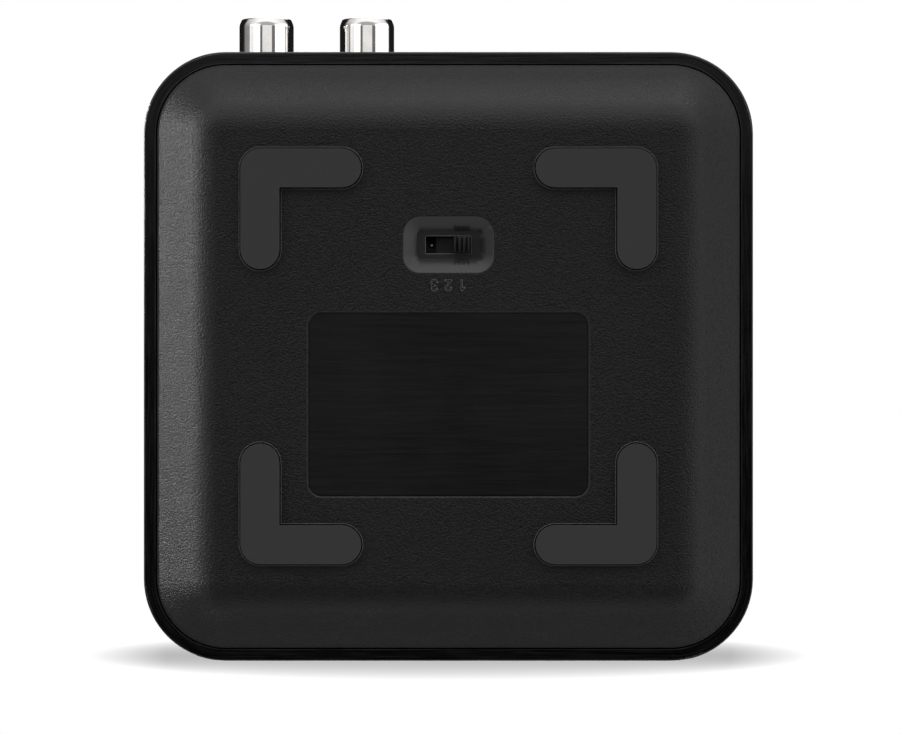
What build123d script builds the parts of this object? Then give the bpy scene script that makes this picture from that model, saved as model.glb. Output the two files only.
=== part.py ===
"""Bluetooth audio receiver: a square black box with phono jacks at the rear and a selector below.

Millimetres, +Z up, +Y to the rear where the jacks are, +X to the right seen from the front.
Everything is drawn about the casing's centre and moved at export, so that the origin is the centre of the
whole receiver's footprint, on the surface that it stands on.
"""

from build123d import *
import math
import os

# Casing
BODY_WIDTH = 92.0  # across X
BODY_DEPTH = 92.0  # across Y
BODY_CORNER_R = 12.4
BAND_HEIGHT = 17.0  # upright side band
CASE_WALL = 1.8  # side wall, which is also the rim that shows round the bottom cover
DECK_THICK = 1.8  # deck that closes the casing under the top panel
RIM_TOP_R = 1.0  # rounding of the band's upper outer edge
RIM_LOW_R = 0.35  # rounding of the band's lower outer edge

# Bottom cover
COVER_DROP = 7.0  # how far the cover stands below the band
COVER_SLOPE_RUN = 7.5  # width in plan of its sloping edge
COVER_SOFTEN_R = 6.5  # rounding between the slope and the flat
COVER_WALL = 2.0
COVER_LIP = 1.4  # height of the lip that enters the band
COVER_EDGE_R = 0.25
INSIDE_CORNER_R = 0.5  # least radius of the cover's inner corners
COVER_GAP = 0.2  # dark joint line between cover and rim
LIP_HEADROOM = 0.2  # above the lip
COVER_BOSS_ROOT = 0.5  # how far a boss is sunk into the cover's wall
COVER_BOSS_R = 3.2

# Top panel
PANEL_RIM = 1.8  # casing rim left round the top panel
PANEL_THICK = 1.2
PANEL_GAP = 0.12
PANEL_EDGE_R = 0.3

# Feet
FOOT_INSET = 15.0  # casing side to the foot's outer side
FOOT_LEG = 18.0  # outer length of each leg
FOOT_WIDTH = 5.8
FOOT_CORNER_R = 3.0
FOOT_THICK = 1.8
FOOT_PROUD = 1.0  # how far a foot stands below the cover
FOOT_GAP = 0.2
FOOT_EDGE_R = 0.25

# Rating label
LABEL_WIDTH = 41.8
LABEL_DEPTH = 27.4
LABEL_Y = -7.2
LABEL_CORNER_R = 2.0
LABEL_RECESS = 0.45
LABEL_THICK = 0.25
LABEL_GAP = 0.1
LABEL_BEVEL = 0.2

# Selector bowl, slot and numerals
SELECTOR_Y = 16.7
BOWL_WIDTH = 13.6
BOWL_DEPTH = 8.45
BOWL_CORNER_R = 2.6
BOWL_DROP = 1.8
BOWL_FLOOR_WIDTH = 9.4
BOWL_FLOOR_DEPTH = 4.1
BOWL_FLOOR_R = 0.6
BOWL_EDGE_R = 0.45
BOWL_WALL = 1.2
SLOT_SIDE_GAP = 0.1  # knob to slot, each side
SLOT_END_GAP = 0.22  # knob to slot end, at the limits
SELECTOR_PITCH = 2.0  # between two positions
NUMERAL_HEIGHT = 1.75
NUMERAL_PITCH = 2.08
NUMERAL_STROKE = 0.3
NUMERAL_RELIEF = 0.12
NUMERAL_ROOT = 0.05  # how far a figure is sunk into the cover
NUMERAL_Y = 10.6

# Slide switch behind the bowl
KNOB_WIDTH = 2.35
KNOB_DEPTH = 2.4
KNOB_REACH = 1.15  # how far the knob stands out of the bowl's floor
KNOB_RIBS = 4
KNOB_RIB_WIDTH = 0.3
KNOB_RIB_RELIEF = 0.25
SLIDER_LENGTH = 7.8
SLIDER_DEPTH = 3.9
SLIDER_THICK = 0.9
SLIDER_RUN_GAP = 0.05  # slider to the frame's face
SLIDER_END_GAP = 0.2  # slider to the frame's ends, at the limits
WIPER_LENGTH = 5.4
WIPER_DEPTH = 2.0
WIPER_SHEET = 0.2
WIPER_CLEARANCE = 0.45  # wiper's legs to the base
FRAME_SHEET = 0.3
FRAME_SEAT_GAP = 0.1  # frame to the back of the bowl's floor
SWITCH_RUN_GAP = 0.15
SWITCH_BASE_THICK = 1.5
SWITCH_PINS = 4
PIN_R = 0.4
FIRST_PIN_X = 2.5  # the contact that shows through the slot
PIN_DOME = 0.3  # above the base
PIN_ROUND_SHARE = 0.6
PIN_TAIL = 0.4  # past the board

# Rear connectors
JACK_AXIS_ABOVE_BOARD = 5.8
PHONO_X = (27.8, 12.45)  # right (red) and left (white) channel
PHONO_SHELL_R = 4.15
PHONO_SHELL_WALL = 0.45
PHONO_OVERHANG = 5.5  # past the casing's rear
PHONO_TIP_R = 0.4
PHONO_FLANGE_R = 5.1
PHONO_FLANGE_THICK = 1.2
PHONO_ROOT = 4.0  # shell length held in the block
PHONO_PIN_BORE_R = 1.65
PHONO_SLEEVE_WALL = 0.2
PHONO_SLEEVE_SLIT = 0.4
PHONO_SLEEVE_ROOT = 2.0  # sleeve held in the block behind the shell
PHONO_SLEEVE_FLOOR = 0.3
PHONO_SLEEVE_SETBACK = 0.5  # sleeve's mouth behind the insulator's face
INSULATOR_SETBACK = 0.5
JACK_BLOCK_DEPTH = 10.0
JACK_BLOCK_HEIGHT = 10.9
JACK_BLOCK_SIDE = 5.5  # past the outer jack axes
REAR_RECESS = 2.5
REAR_OPENING_WIDTH = 69.0
REAR_OPENING_HEIGHT = 10.4
REAR_OPENING_R = 2.0
REAR_PANEL_THICK = 1.5
REAR_PANEL_LAP = 0.8
REAR_PAD_LAP = 1.6  # thicker wall past the opening's sides
HOLE_GAP = 0.1
DC_X = -27.8
DC_BODY_WIDTH = 9.0
DC_BODY_DEPTH = 10.0
DC_COLLAR_R = 3.7
DC_BORE_R = 2.2
DC_BORE_LENGTH = 9.0
DC_PIN_R = 0.83
DC_PIN_SETBACK = 1.0  # behind the collar's face
DC_PIN_ROUND_SHARE = 0.5
DC_SPRING_WIDTH = 1.6
TAIL_SHEET = 0.3
LINE_X = -12.45
LINE_BODY_WIDTH = 8.0
LINE_BODY_DEPTH = 13.0
LINE_COLLAR_R = 3.0
LINE_BORE_R = 1.8
LINE_BORE_LENGTH = 12.5
LINE_ROOF = 3.6  # jack axis to the top of the body
LINE_TAIL_X = 2.8  # either side of the jack axis
LINE_TAIL_SETBACKS = (3.0, 9.0)  # behind the rear panel
LINE_TAIL_WIDTH = 1.0

# Circuit board
BOARD_ABOVE_RIM = 0.4  # underside of the board above the band's lower edge
BOARD_THICK = 1.6
BOARD_SIDE_MARGIN = 6.0  # casing side to board edge
BOARD_REAR_MARGIN = 4.6
BOARD_DEPTH = 65.4
BOARD_CORNER_R = 8.0
BOARD_BOSS_GAP = 0.3
BOARD_SCREW_GAP = 0.2
BOARD_SCREWS = ((36.0, -18.0), (-36.0, -18.0), (36.0, 20.0), (-36.0, 20.0))
POST_R = 2.5
BOARD_SCREW_HEAD_R = 1.9
BOARD_SCREW_R = 0.8
BOARD_SCREW_LENGTH = 6.5

# Case screws, which sit under the feet
BOSS_R = 3.0
COVER_BOSS_HEIGHT = 3.0
SCREW_R = 0.95
SCREW_HOLE_R = 1.3
SCREW_HEAD_R = 2.0
SCREW_HEAD_THICK = 1.3
SCREW_LENGTH = 9.5
HEAD_GAP = 0.2
PILOT_GAP = 0.05
DRIVE_WIDTH = 0.5
DRIVE_LENGTH = 2.2
DRIVE_DEPTH = 0.6
HEAD_ROUND_SHARE = 0.4  # of the head's thickness
BOARD_SCREW_HEAD_THICK = 1.2
BOARD_SCREW_END_GAP = 0.5

# Pairing button, tactile switch and indicator
BUTTON_R = 7.0
BUTTON_GAP = 0.2
BUTTON_PROUD = 0.35
BUTTON_EDGE_R = 0.5
BUTTON_DISH_R = 60.0  # of the shallow hollow in its top
BUTTON_DISH_RIM = 1.0
BUTTON_FLANGE = 1.0
BUTTON_FLANGE_GAP = 0.1
BUTTON_FLANGE_THICK = 0.9
BUTTON_STEM_R = 1.9
BUTTON_TRAVEL = 0.4
TACT_SIDE = 6.2
TACT_HEIGHT = 3.4
TACT_COVER_THICK = 0.3
TACT_COVER_INSET = 0.1
WELL_FLOOR_GAP = 0.1  # under the plunger when pressed
PLUNGER_R = 1.7
PLUNGER_PROUD = 0.9
PLUNGER_ROOT = 1.4
PLUNGER_GAP = 0.1
INDICATOR_Y = -14.0
PIPE_R = 1.0
PIPE_GAP = 0.05
PIPE_FLANGE_R = 1.8
PIPE_FLANGE_THICK = 0.9
PIPE_PROUD = 0.15
PIPE_EDGE_R = 0.3
LED_SIZE = (3.2, 1.6, 1.1)
LED_GAP = 0.3

# Heights that follow
FLAT_Z = FOOT_PROUD
RIM_Z = FLAT_Z + COVER_DROP
TOP_Z = RIM_Z + BAND_HEIGHT
DECK_TOP_Z = TOP_Z - PANEL_THICK
DECK_LOW_Z = DECK_TOP_Z - DECK_THICK
COVER_INSIDE_Z = FLAT_Z + COVER_WALL
FOOT_SEAT_Z = FOOT_THICK
BOWL_FLOOR_Z = FLAT_Z + BOWL_DROP
BOWL_BACK_Z = BOWL_FLOOR_Z + BOWL_WALL
BOARD_LOW_Z = RIM_Z + BOARD_ABOVE_RIM
BOARD_TOP_Z = BOARD_LOW_Z + BOARD_THICK
JACK_Z = BOARD_TOP_Z + JACK_AXIS_ABOVE_BOARD
BOSS_LOW_Z = COVER_INSIDE_Z + COVER_BOSS_HEIGHT

# Places that follow
REAR_Y = BODY_DEPTH / 2
PANEL_FRONT_Y = REAR_Y - REAR_RECESS
PANEL_BACK_Y = PANEL_FRONT_Y - REAR_PANEL_THICK
COVER_INSET = CASE_WALL + COVER_GAP
BOARD_REAR_Y = REAR_Y - BOARD_REAR_MARGIN
FOOT_X = BODY_WIDTH / 2 - FOOT_INSET
FOOT_Y = BODY_DEPTH / 2 - FOOT_INSET
SCREW_X = FOOT_X - FOOT_WIDTH / 2
SCREW_Y = FOOT_Y - FOOT_WIDTH / 2
SELECTOR_TRAVEL = 2 * SELECTOR_PITCH
KNOB_X = -SELECTOR_PITCH  # first position
ORIGIN_SHIFT_Y = -PHONO_OVERHANG / 2

CORNERS = ((1, 1), (-1, 1), (1, -1), (-1, -1))
SLOPE_ANGLE = math.atan2(COVER_DROP, COVER_SLOPE_RUN)


# Helpers


def upright_plate(width, depth, corner_r, low_z, high_z, x=0.0, y=0.0):
    """A plate with rounded corners between two heights."""
    outline = Pos(x, y, low_z) * RectangleRounded(width, depth, corner_r)
    return extrude(outline, high_z - low_z)


def block(x, y, z, width, depth, height):
    """A box from its centre in plan and its lower face."""
    return Pos(x, y, z) * Box(width, depth, height, align=(Align.CENTER, Align.CENTER, Align.MIN))


def rod(x, y, low_z, high_z, radius):
    """An upright cylinder."""
    return Pos(x, y, low_z) * Cylinder(
        radius, high_z - low_z, align=(Align.CENTER, Align.CENTER, Align.MIN)
    )


def rear_rod(x, front_y, rear_y, radius, z=JACK_Z):
    """A cylinder that points to the rear, from front_y to rear_y."""
    return Pos(x, rear_y, z) * Rot(90, 0, 0) * Cylinder(
        radius, rear_y - front_y, align=(Align.CENTER, Align.CENTER, Align.MIN)
    )


def rear_plate(width, height, corner_r, front_y, rear_y, z=JACK_Z):
    """An upright plate across the rear, with rounded corners."""
    outline = Pos(0, rear_y, z) * Rot(90, 0, 0) * RectangleRounded(width, height, corner_r)
    return extrude(outline, rear_y - front_y)


def edges_at(shape, z):
    """Edges that lie wholly at one height."""
    return shape.edges().filter_by_position(Axis.Z, z - 1e-4, z + 1e-4)


def rear_edges_at(shape, y):
    """Edges that lie wholly at one distance to the rear."""
    return shape.edges().filter_by_position(Axis.Y, y - 1e-4, y + 1e-4)


def sloping_dish(top_width, top_depth, top_r, low_width, low_depth, low_r, top_z, low_z):
    """A solid between two rounded rectangles, with flat sides and conical corners."""
    upper = Pos(0, 0, top_z) * RectangleRounded(top_width, top_depth, top_r)
    lower = Pos(0, 0, low_z) * RectangleRounded(low_width, low_depth, low_r)
    return loft([upper, lower], ruled=True)


def screw(x, y, head_z, head_r, head_thick, shank_r, length):
    """A pan-head screw driven upwards, with a crossed drive in its head."""
    head = rod(x, y, head_z - head_thick, head_z, head_r)
    head = fillet(edges_at(head, head_z - head_thick), head_thick * HEAD_ROUND_SHARE)
    body = head + rod(x, y, head_z, head_z + length, shank_r)
    drive_z = head_z - head_thick
    for width, depth in ((DRIVE_LENGTH, DRIVE_WIDTH), (DRIVE_WIDTH, DRIVE_LENGTH)):
        body -= block(x, y, drive_z, width, depth, DRIVE_DEPTH)
    return body


# Casing pieces


def upper_casing():
    """Side band and deck, with the screw bosses, board posts and rear opening."""
    inner_width = BODY_WIDTH - 2 * CASE_WALL
    inner_depth = BODY_DEPTH - 2 * CASE_WALL
    inner_r = BODY_CORNER_R - CASE_WALL
    body = upright_plate(BODY_WIDTH, BODY_DEPTH, BODY_CORNER_R, RIM_Z, TOP_Z)
    body = fillet(edges_at(body, TOP_Z), RIM_TOP_R)
    body = fillet(edges_at(body, RIM_Z), RIM_LOW_R)
    body -= upright_plate(inner_width, inner_depth, inner_r, RIM_Z, DECK_LOW_Z)
    body -= upright_plate(
        BODY_WIDTH - 2 * PANEL_RIM,
        BODY_DEPTH - 2 * PANEL_RIM,
        BODY_CORNER_R - PANEL_RIM,
        DECK_TOP_Z,
        TOP_Z,
    )
    pad_low_z = RIM_Z + COVER_LIP + LIP_HEADROOM
    body += block(
        0,
        (PANEL_FRONT_Y + REAR_Y - CASE_WALL) / 2,
        pad_low_z,
        REAR_OPENING_WIDTH + 2 * REAR_PAD_LAP,
        REAR_Y - CASE_WALL - PANEL_FRONT_Y,
        DECK_LOW_Z - pad_low_z,
    )
    body -= rear_plate(
        REAR_OPENING_WIDTH, REAR_OPENING_HEIGHT, REAR_OPENING_R, PANEL_FRONT_Y, REAR_Y
    )
    for side_x, side_y in CORNERS:
        x, y = side_x * SCREW_X, side_y * SCREW_Y
        body += rod(x, y, BOSS_LOW_Z, DECK_LOW_Z, BOSS_R)
        body -= rod(x, y, BOSS_LOW_Z, BOSS_LOW_Z + SCREW_LENGTH, SCREW_R + PILOT_GAP)
    for x, y in BOARD_SCREWS:
        body += rod(x, y, BOARD_TOP_Z, DECK_LOW_Z, POST_R)
        body -= rod(x, y, BOARD_TOP_Z, BOARD_TOP_Z + BOARD_SCREW_LENGTH, BOARD_SCREW_R + PILOT_GAP)
    body -= rod(0, 0, DECK_LOW_Z, DECK_TOP_Z, BUTTON_R + BUTTON_GAP)
    body -= rod(0, INDICATOR_Y, DECK_LOW_Z, DECK_TOP_Z, PIPE_R + PIPE_GAP)
    return body


def top_panel():
    """Gloss panel set flush in the casing's top, with the button and indicator holes."""
    panel = upright_plate(
        BODY_WIDTH - 2 * (PANEL_RIM + PANEL_GAP),
        BODY_DEPTH - 2 * (PANEL_RIM + PANEL_GAP),
        BODY_CORNER_R - PANEL_RIM - PANEL_GAP,
        DECK_TOP_Z,
        TOP_Z,
    )
    panel -= rod(0, 0, DECK_TOP_Z, TOP_Z, BUTTON_R + BUTTON_GAP)
    panel = fillet(edges_at(panel, TOP_Z), PANEL_EDGE_R)
    return panel - rod(0, INDICATOR_Y, DECK_TOP_Z, TOP_Z, PIPE_R + PIPE_GAP)


def cover_shell():
    """The cover's sloping tray, before its recesses."""
    width = BODY_WIDTH - 2 * COVER_INSET
    depth = BODY_DEPTH - 2 * COVER_INSET
    corner_r = BODY_CORNER_R - COVER_INSET
    run = COVER_SLOPE_RUN
    tray = sloping_dish(
        width, depth, corner_r, width - 2 * run, depth - 2 * run, corner_r - run, RIM_Z, FLAT_Z
    )
    tray = fillet(edges_at(tray, FLAT_Z), COVER_SOFTEN_R)
    tray += upright_plate(width, depth, corner_r, RIM_Z, RIM_Z + COVER_LIP)
    tray = fillet(edges_at(tray, RIM_Z), COVER_EDGE_R)
    inside_width = width - 2 * COVER_WALL
    inside_depth = depth - 2 * COVER_WALL
    inside_r = corner_r - COVER_WALL
    bend_z = RIM_Z + COVER_WALL * (1 / math.cos(SLOPE_ANGLE) - math.tan(SLOPE_ANGLE))
    inside_run = (bend_z - COVER_INSIDE_Z) / math.tan(SLOPE_ANGLE)
    tray -= upright_plate(inside_width, inside_depth, inside_r, bend_z, RIM_Z + COVER_LIP)
    return tray - sloping_dish(
        inside_width,
        inside_depth,
        inside_r,
        inside_width - 2 * inside_run,
        inside_depth - 2 * inside_run,
        max(inside_r - inside_run, INSIDE_CORNER_R),
        bend_z,
        COVER_INSIDE_Z,
    )


def foot_outline(side_x, side_y, gap):
    """One L-shaped foot in plan, grown by a gap on every side."""
    half = FOOT_WIDTH / 2 + gap
    end = FOOT_LEG - FOOT_WIDTH  # screw centre to the centre of a leg's round end
    with BuildSketch() as sketch:
        with BuildLine():
            corner_r = FOOT_CORNER_R + gap
            Line((-end, half), (half - corner_r, half))
            RadiusArc((half - corner_r, half), (half, half - corner_r), corner_r)
            Line((half, half - corner_r), (half, -end))
            RadiusArc((half, -end), (-half, -end), half)
            Line((-half, -end), (-half, -half))
            Line((-half, -half), (-end, -half))
            RadiusArc((-end, -half), (-end, half), half)
        make_face()
    outline = sketch.sketch
    if side_x < 0:
        outline = mirror(outline, about=Plane.YZ)
    if side_y < 0:
        outline = mirror(outline, about=Plane.XZ)
    return Pos(side_x * SCREW_X, side_y * SCREW_Y, 0) * outline


def foot(side_x, side_y):
    """An L-shaped rubber foot that lies in its recess over a case screw."""
    pad = extrude(foot_outline(side_x, side_y, 0), FOOT_THICK, dir=(0, 0, 1))
    return fillet(edges_at(pad, 0), FOOT_EDGE_R)


def numeral_strokes(figure):
    """The strokes of one figure, one unit high and centred on its own origin."""
    if figure == 1:
        return [Line((-0.2, 0.26), (0.06, 0.5)), Line((0.06, 0.5), (0.06, -0.5))]
    if figure == 2:
        bow = ThreePointArc((-0.27, 0.24), (0.0, 0.5), (0.27, 0.22))
        return [bow, Line((0.27, 0.22), (-0.28, -0.5)), Line((-0.28, -0.5), (0.3, -0.5))]
    upper = ThreePointArc((-0.25, 0.36), (0.24, 0.27), (-0.04, 0.03))
    return [upper, ThreePointArc((-0.04, 0.03), (0.29, -0.22), (-0.28, -0.34))]


def numeral_face(figure):
    """One figure in plan, with round joints and ends to its strokes."""
    face = Sketch()
    for stroke in numeral_strokes(figure):
        line = scale(stroke, NUMERAL_HEIGHT - NUMERAL_STROKE)
        face += trace(line, NUMERAL_STROKE)
        for end in (line @ 0, line @ 1):
            face += Pos(end.X, end.Y) * Circle(NUMERAL_STROKE / 2)
    return face


def numerals():
    """Raised figures beside the selector, read from below with the front edge up."""
    figures = []
    for place, figure in enumerate((1, 2, 3)):
        centre_x = (place - 1) * NUMERAL_PITCH
        face = Pos(centre_x, NUMERAL_Y, FLAT_Z + NUMERAL_ROOT) * Rot(180, 0, 0) * numeral_face(figure)
        figures.append(extrude(face, NUMERAL_RELIEF + NUMERAL_ROOT, dir=(0, 0, -1)))
    return figures


def bowl_space(grow, floor_z):
    """The selector bowl, grown by a wall on every side, down to a floor height."""
    share = (floor_z - FLAT_Z) / BOWL_DROP
    width = BOWL_WIDTH + (BOWL_FLOOR_WIDTH - BOWL_WIDTH) * share + 2 * grow
    depth = BOWL_DEPTH + (BOWL_FLOOR_DEPTH - BOWL_DEPTH) * share + 2 * grow
    corner = BOWL_CORNER_R + (BOWL_FLOOR_R - BOWL_CORNER_R) * share + grow
    upper = Pos(0, SELECTOR_Y, FLAT_Z) * RectangleRounded(
        BOWL_WIDTH + 2 * grow, BOWL_DEPTH + 2 * grow, BOWL_CORNER_R + grow
    )
    lower = Pos(0, SELECTOR_Y, floor_z) * RectangleRounded(width, depth, corner)
    return loft([upper, lower], ruled=True)


def mouth_edges(shape, width, depth, centre_y):
    """Edges of a recess's mouth in the cover's flat face."""
    slack = 0.05
    reach_x, reach_y = width / 2 + slack, depth / 2 + slack
    found = []
    for edge in edges_at(shape, FLAT_Z):
        box = edge.bounding_box()
        inside_x = max(abs(box.min.X), abs(box.max.X)) < reach_x
        inside_y = max(abs(box.min.Y - centre_y), abs(box.max.Y - centre_y)) < reach_y
        if inside_x and inside_y:
            found.append(edge)
    return found


def bottom_cover():
    """Textured cover with the foot, label and selector recesses and its screw bosses."""
    cover = cover_shell()
    bowl_back = upright_plate(
        BOWL_FLOOR_WIDTH + 2 * BOWL_WALL,
        BOWL_FLOOR_DEPTH + 2 * BOWL_WALL,
        BOWL_FLOOR_R + BOWL_WALL,
        COVER_INSIDE_Z,
        BOWL_BACK_Z,
        0,
        SELECTOR_Y,
    )
    cover += bowl_back
    for side_x, side_y in CORNERS:
        x, y = side_x * SCREW_X, side_y * SCREW_Y
        cover += rod(x, y, COVER_INSIDE_Z - COVER_BOSS_ROOT, BOSS_LOW_Z, COVER_BOSS_R)
        recess = foot_outline(side_x, side_y, FOOT_GAP)
        cover -= Pos(0, 0, FLAT_Z) * extrude(recess, FOOT_SEAT_Z - FLAT_Z, dir=(0, 0, 1))
        head_z = FOOT_SEAT_Z + SCREW_HEAD_THICK + HEAD_GAP
        cover -= rod(x, y, FOOT_SEAT_Z, head_z, SCREW_HEAD_R + HEAD_GAP)
        cover -= rod(x, y, head_z, BOSS_LOW_Z, SCREW_HOLE_R)
    label_space = upright_plate(
        LABEL_WIDTH, LABEL_DEPTH, LABEL_CORNER_R, FLAT_Z, FLAT_Z + LABEL_RECESS, 0, LABEL_Y
    )
    cover -= label_space
    cover -= bowl_space(0, BOWL_FLOOR_Z)
    slot_width = KNOB_WIDTH + SELECTOR_TRAVEL + 2 * SLOT_END_GAP
    slot_depth = KNOB_DEPTH + 2 * SLOT_SIDE_GAP
    cover -= block(0, SELECTOR_Y, BOWL_FLOOR_Z, slot_width, slot_depth, BOWL_WALL)
    bowl_mouth = mouth_edges(cover, BOWL_WIDTH, BOWL_DEPTH, SELECTOR_Y)
    cover = fillet(bowl_mouth, BOWL_EDGE_R)
    label_mouth = mouth_edges(cover, LABEL_WIDTH, LABEL_DEPTH, LABEL_Y)
    cover = chamfer(label_mouth, LABEL_BEVEL)
    for figure in numerals():
        cover += figure
    return cover


def rating_label():
    """Blank label that lies in its recess."""
    low_z = FLAT_Z + LABEL_RECESS - LABEL_THICK
    return upright_plate(
        LABEL_WIDTH - 2 * LABEL_GAP,
        LABEL_DEPTH - 2 * LABEL_GAP,
        LABEL_CORNER_R - LABEL_GAP,
        low_z,
        FLAT_Z + LABEL_RECESS,
        0,
        LABEL_Y,
    )


def case_screws():
    """Four screws that hold the cover to the casing's bosses."""
    head_z = FOOT_SEAT_Z + SCREW_HEAD_THICK + HEAD_GAP
    return [
        screw(
            side_x * SCREW_X,
            side_y * SCREW_Y,
            head_z,
            SCREW_HEAD_R,
            SCREW_HEAD_THICK,
            SCREW_R,
            SCREW_LENGTH - HEAD_GAP,
        )
        for side_x, side_y in CORNERS
    ]


# Slide switch


def switch_heights():
    """Underside of the frame, of the slider and of the base."""
    frame_z = BOWL_BACK_Z + FRAME_SEAT_GAP
    slider_z = frame_z + FRAME_SHEET + SLIDER_RUN_GAP
    base_z = BOARD_LOW_Z - SWITCH_BASE_THICK
    return frame_z, slider_z, base_z


def switch_inner_size():
    """Room inside the frame for the slider and its travel."""
    return (
        SLIDER_LENGTH + SELECTOR_TRAVEL + 2 * SLIDER_END_GAP,
        SLIDER_DEPTH + 2 * SWITCH_RUN_GAP,
    )


def slide_switch_frame():
    """Folded sheet cover over the switch, with the knob's slot."""
    frame_z, _, _ = switch_heights()
    width, depth = switch_inner_size()
    height = BOARD_LOW_Z - frame_z
    shell = block(0, SELECTOR_Y, frame_z, width + 2 * FRAME_SHEET, depth + 2 * FRAME_SHEET, height)
    shell -= block(0, SELECTOR_Y, frame_z + FRAME_SHEET, width, depth, height)
    slot_width = KNOB_WIDTH + SELECTOR_TRAVEL + 2 * SLOT_END_GAP
    return shell - block(
        0, SELECTOR_Y, frame_z, slot_width, KNOB_DEPTH + 2 * SLOT_SIDE_GAP, FRAME_SHEET
    )


def slide_switch_base():
    """Insulating base that closes the frame against the board."""
    _, _, base_z = switch_heights()
    width, depth = switch_inner_size()
    base = block(0, SELECTOR_Y, base_z, width, depth, SWITCH_BASE_THICK)
    for pin_x in switch_pin_places():
        base -= rod(pin_x, SELECTOR_Y, base_z, BOARD_LOW_Z, PIN_R)
    return base


def switch_pin_places():
    return [FIRST_PIN_X - SELECTOR_PITCH * place for place in range(SWITCH_PINS)]


def slide_switch_contacts():
    """Domed contacts that go through the base and the board."""
    _, _, base_z = switch_heights()
    pins = []
    for pin_x in switch_pin_places():
        pin = rod(pin_x, SELECTOR_Y, base_z - PIN_DOME, BOARD_TOP_Z + PIN_TAIL, PIN_R)
        pins.append(fillet(edges_at(pin, base_z - PIN_DOME), PIN_R * PIN_ROUND_SHARE))
    return pins


def selector_knob():
    """Slider with the ribbed knob that shows in the bowl."""
    _, slider_z, _ = switch_heights()
    tip_z = BOWL_FLOOR_Z - KNOB_REACH
    slider = block(KNOB_X, SELECTOR_Y, slider_z, SLIDER_LENGTH, SLIDER_DEPTH, SLIDER_THICK)
    stem_z = tip_z + KNOB_RIB_RELIEF
    slider += block(KNOB_X, SELECTOR_Y, stem_z, KNOB_WIDTH, KNOB_DEPTH, slider_z - stem_z)
    rib_pitch = (KNOB_WIDTH - KNOB_RIB_WIDTH) / (KNOB_RIBS - 1)
    for rib in range(KNOB_RIBS):
        rib_x = KNOB_X + rib_pitch * (rib - (KNOB_RIBS - 1) / 2)
        slider += block(rib_x, SELECTOR_Y, tip_z, KNOB_RIB_WIDTH, KNOB_DEPTH, KNOB_RIB_RELIEF)
    return slider


def selector_wiper():
    """Sprung contact strip under the slider."""
    _, slider_z, base_z = switch_heights()
    strip_z = slider_z + SLIDER_THICK
    wiper = block(KNOB_X, SELECTOR_Y, strip_z, WIPER_LENGTH, WIPER_DEPTH, WIPER_SHEET)
    reach = base_z - WIPER_CLEARANCE - strip_z
    for end in (-1, 1):
        leg_x = KNOB_X + end * (WIPER_LENGTH - WIPER_SHEET) / 2
        wiper += block(leg_x, SELECTOR_Y, strip_z, WIPER_SHEET, WIPER_DEPTH, reach)
    return wiper


# Rear connectors


def rear_panel():
    """Plate behind the rear opening that the connectors look through."""
    panel = rear_plate(
        REAR_OPENING_WIDTH + 2 * REAR_PANEL_LAP,
        REAR_OPENING_HEIGHT + 2 * REAR_PANEL_LAP,
        REAR_OPENING_R,
        PANEL_BACK_Y,
        PANEL_FRONT_Y,
    )
    for x in PHONO_X:
        panel -= rear_rod(x, PANEL_BACK_Y, PANEL_FRONT_Y, PHONO_FLANGE_R + HOLE_GAP)
    panel -= rear_rod(DC_X, PANEL_BACK_Y, PANEL_FRONT_Y, DC_COLLAR_R + HOLE_GAP)
    return panel - rear_rod(LINE_X, PANEL_BACK_Y, PANEL_FRONT_Y, LINE_COLLAR_R + HOLE_GAP)


def phono_jack_block():
    """Moulded block that holds both phono jacks on the board."""
    left_x = min(PHONO_X) - JACK_BLOCK_SIDE
    right_x = max(PHONO_X) + JACK_BLOCK_SIDE
    body = block(
        (left_x + right_x) / 2,
        PANEL_BACK_Y - JACK_BLOCK_DEPTH / 2,
        BOARD_TOP_Z,
        right_x - left_x,
        JACK_BLOCK_DEPTH,
        JACK_BLOCK_HEIGHT,
    )
    for x in PHONO_X:
        body -= rear_rod(x, PANEL_BACK_Y - PHONO_ROOT, PANEL_BACK_Y, PHONO_SHELL_R)
        sleeve_r = PHONO_PIN_BORE_R + PHONO_SLEEVE_WALL
        root_y = PANEL_BACK_Y - PHONO_ROOT
        body -= rear_rod(x, root_y - PHONO_SLEEVE_ROOT, root_y, sleeve_r)
    return body


def phono_shell(x):
    """Plated outer contact with its flange against the block."""
    tip_y = REAR_Y + PHONO_OVERHANG
    shell = rear_rod(x, PANEL_BACK_Y - PHONO_ROOT, tip_y, PHONO_SHELL_R)
    shell += rear_rod(x, PANEL_BACK_Y, PANEL_BACK_Y + PHONO_FLANGE_THICK, PHONO_FLANGE_R)
    shell = fillet(rear_edges_at(shell, tip_y), PHONO_TIP_R)
    return shell - rear_rod(x, PANEL_BACK_Y - PHONO_ROOT, tip_y, PHONO_SHELL_R - PHONO_SHELL_WALL)


def phono_insulator(x):
    """Coloured insulator that fills the shell round the centre contact."""
    front_y = PANEL_BACK_Y - PHONO_ROOT
    tip_y = REAR_Y + PHONO_OVERHANG - INSULATOR_SETBACK
    core = rear_rod(x, front_y, tip_y, PHONO_SHELL_R - PHONO_SHELL_WALL)
    return core - rear_rod(x, front_y, tip_y, PHONO_PIN_BORE_R + PHONO_SLEEVE_WALL)


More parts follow.
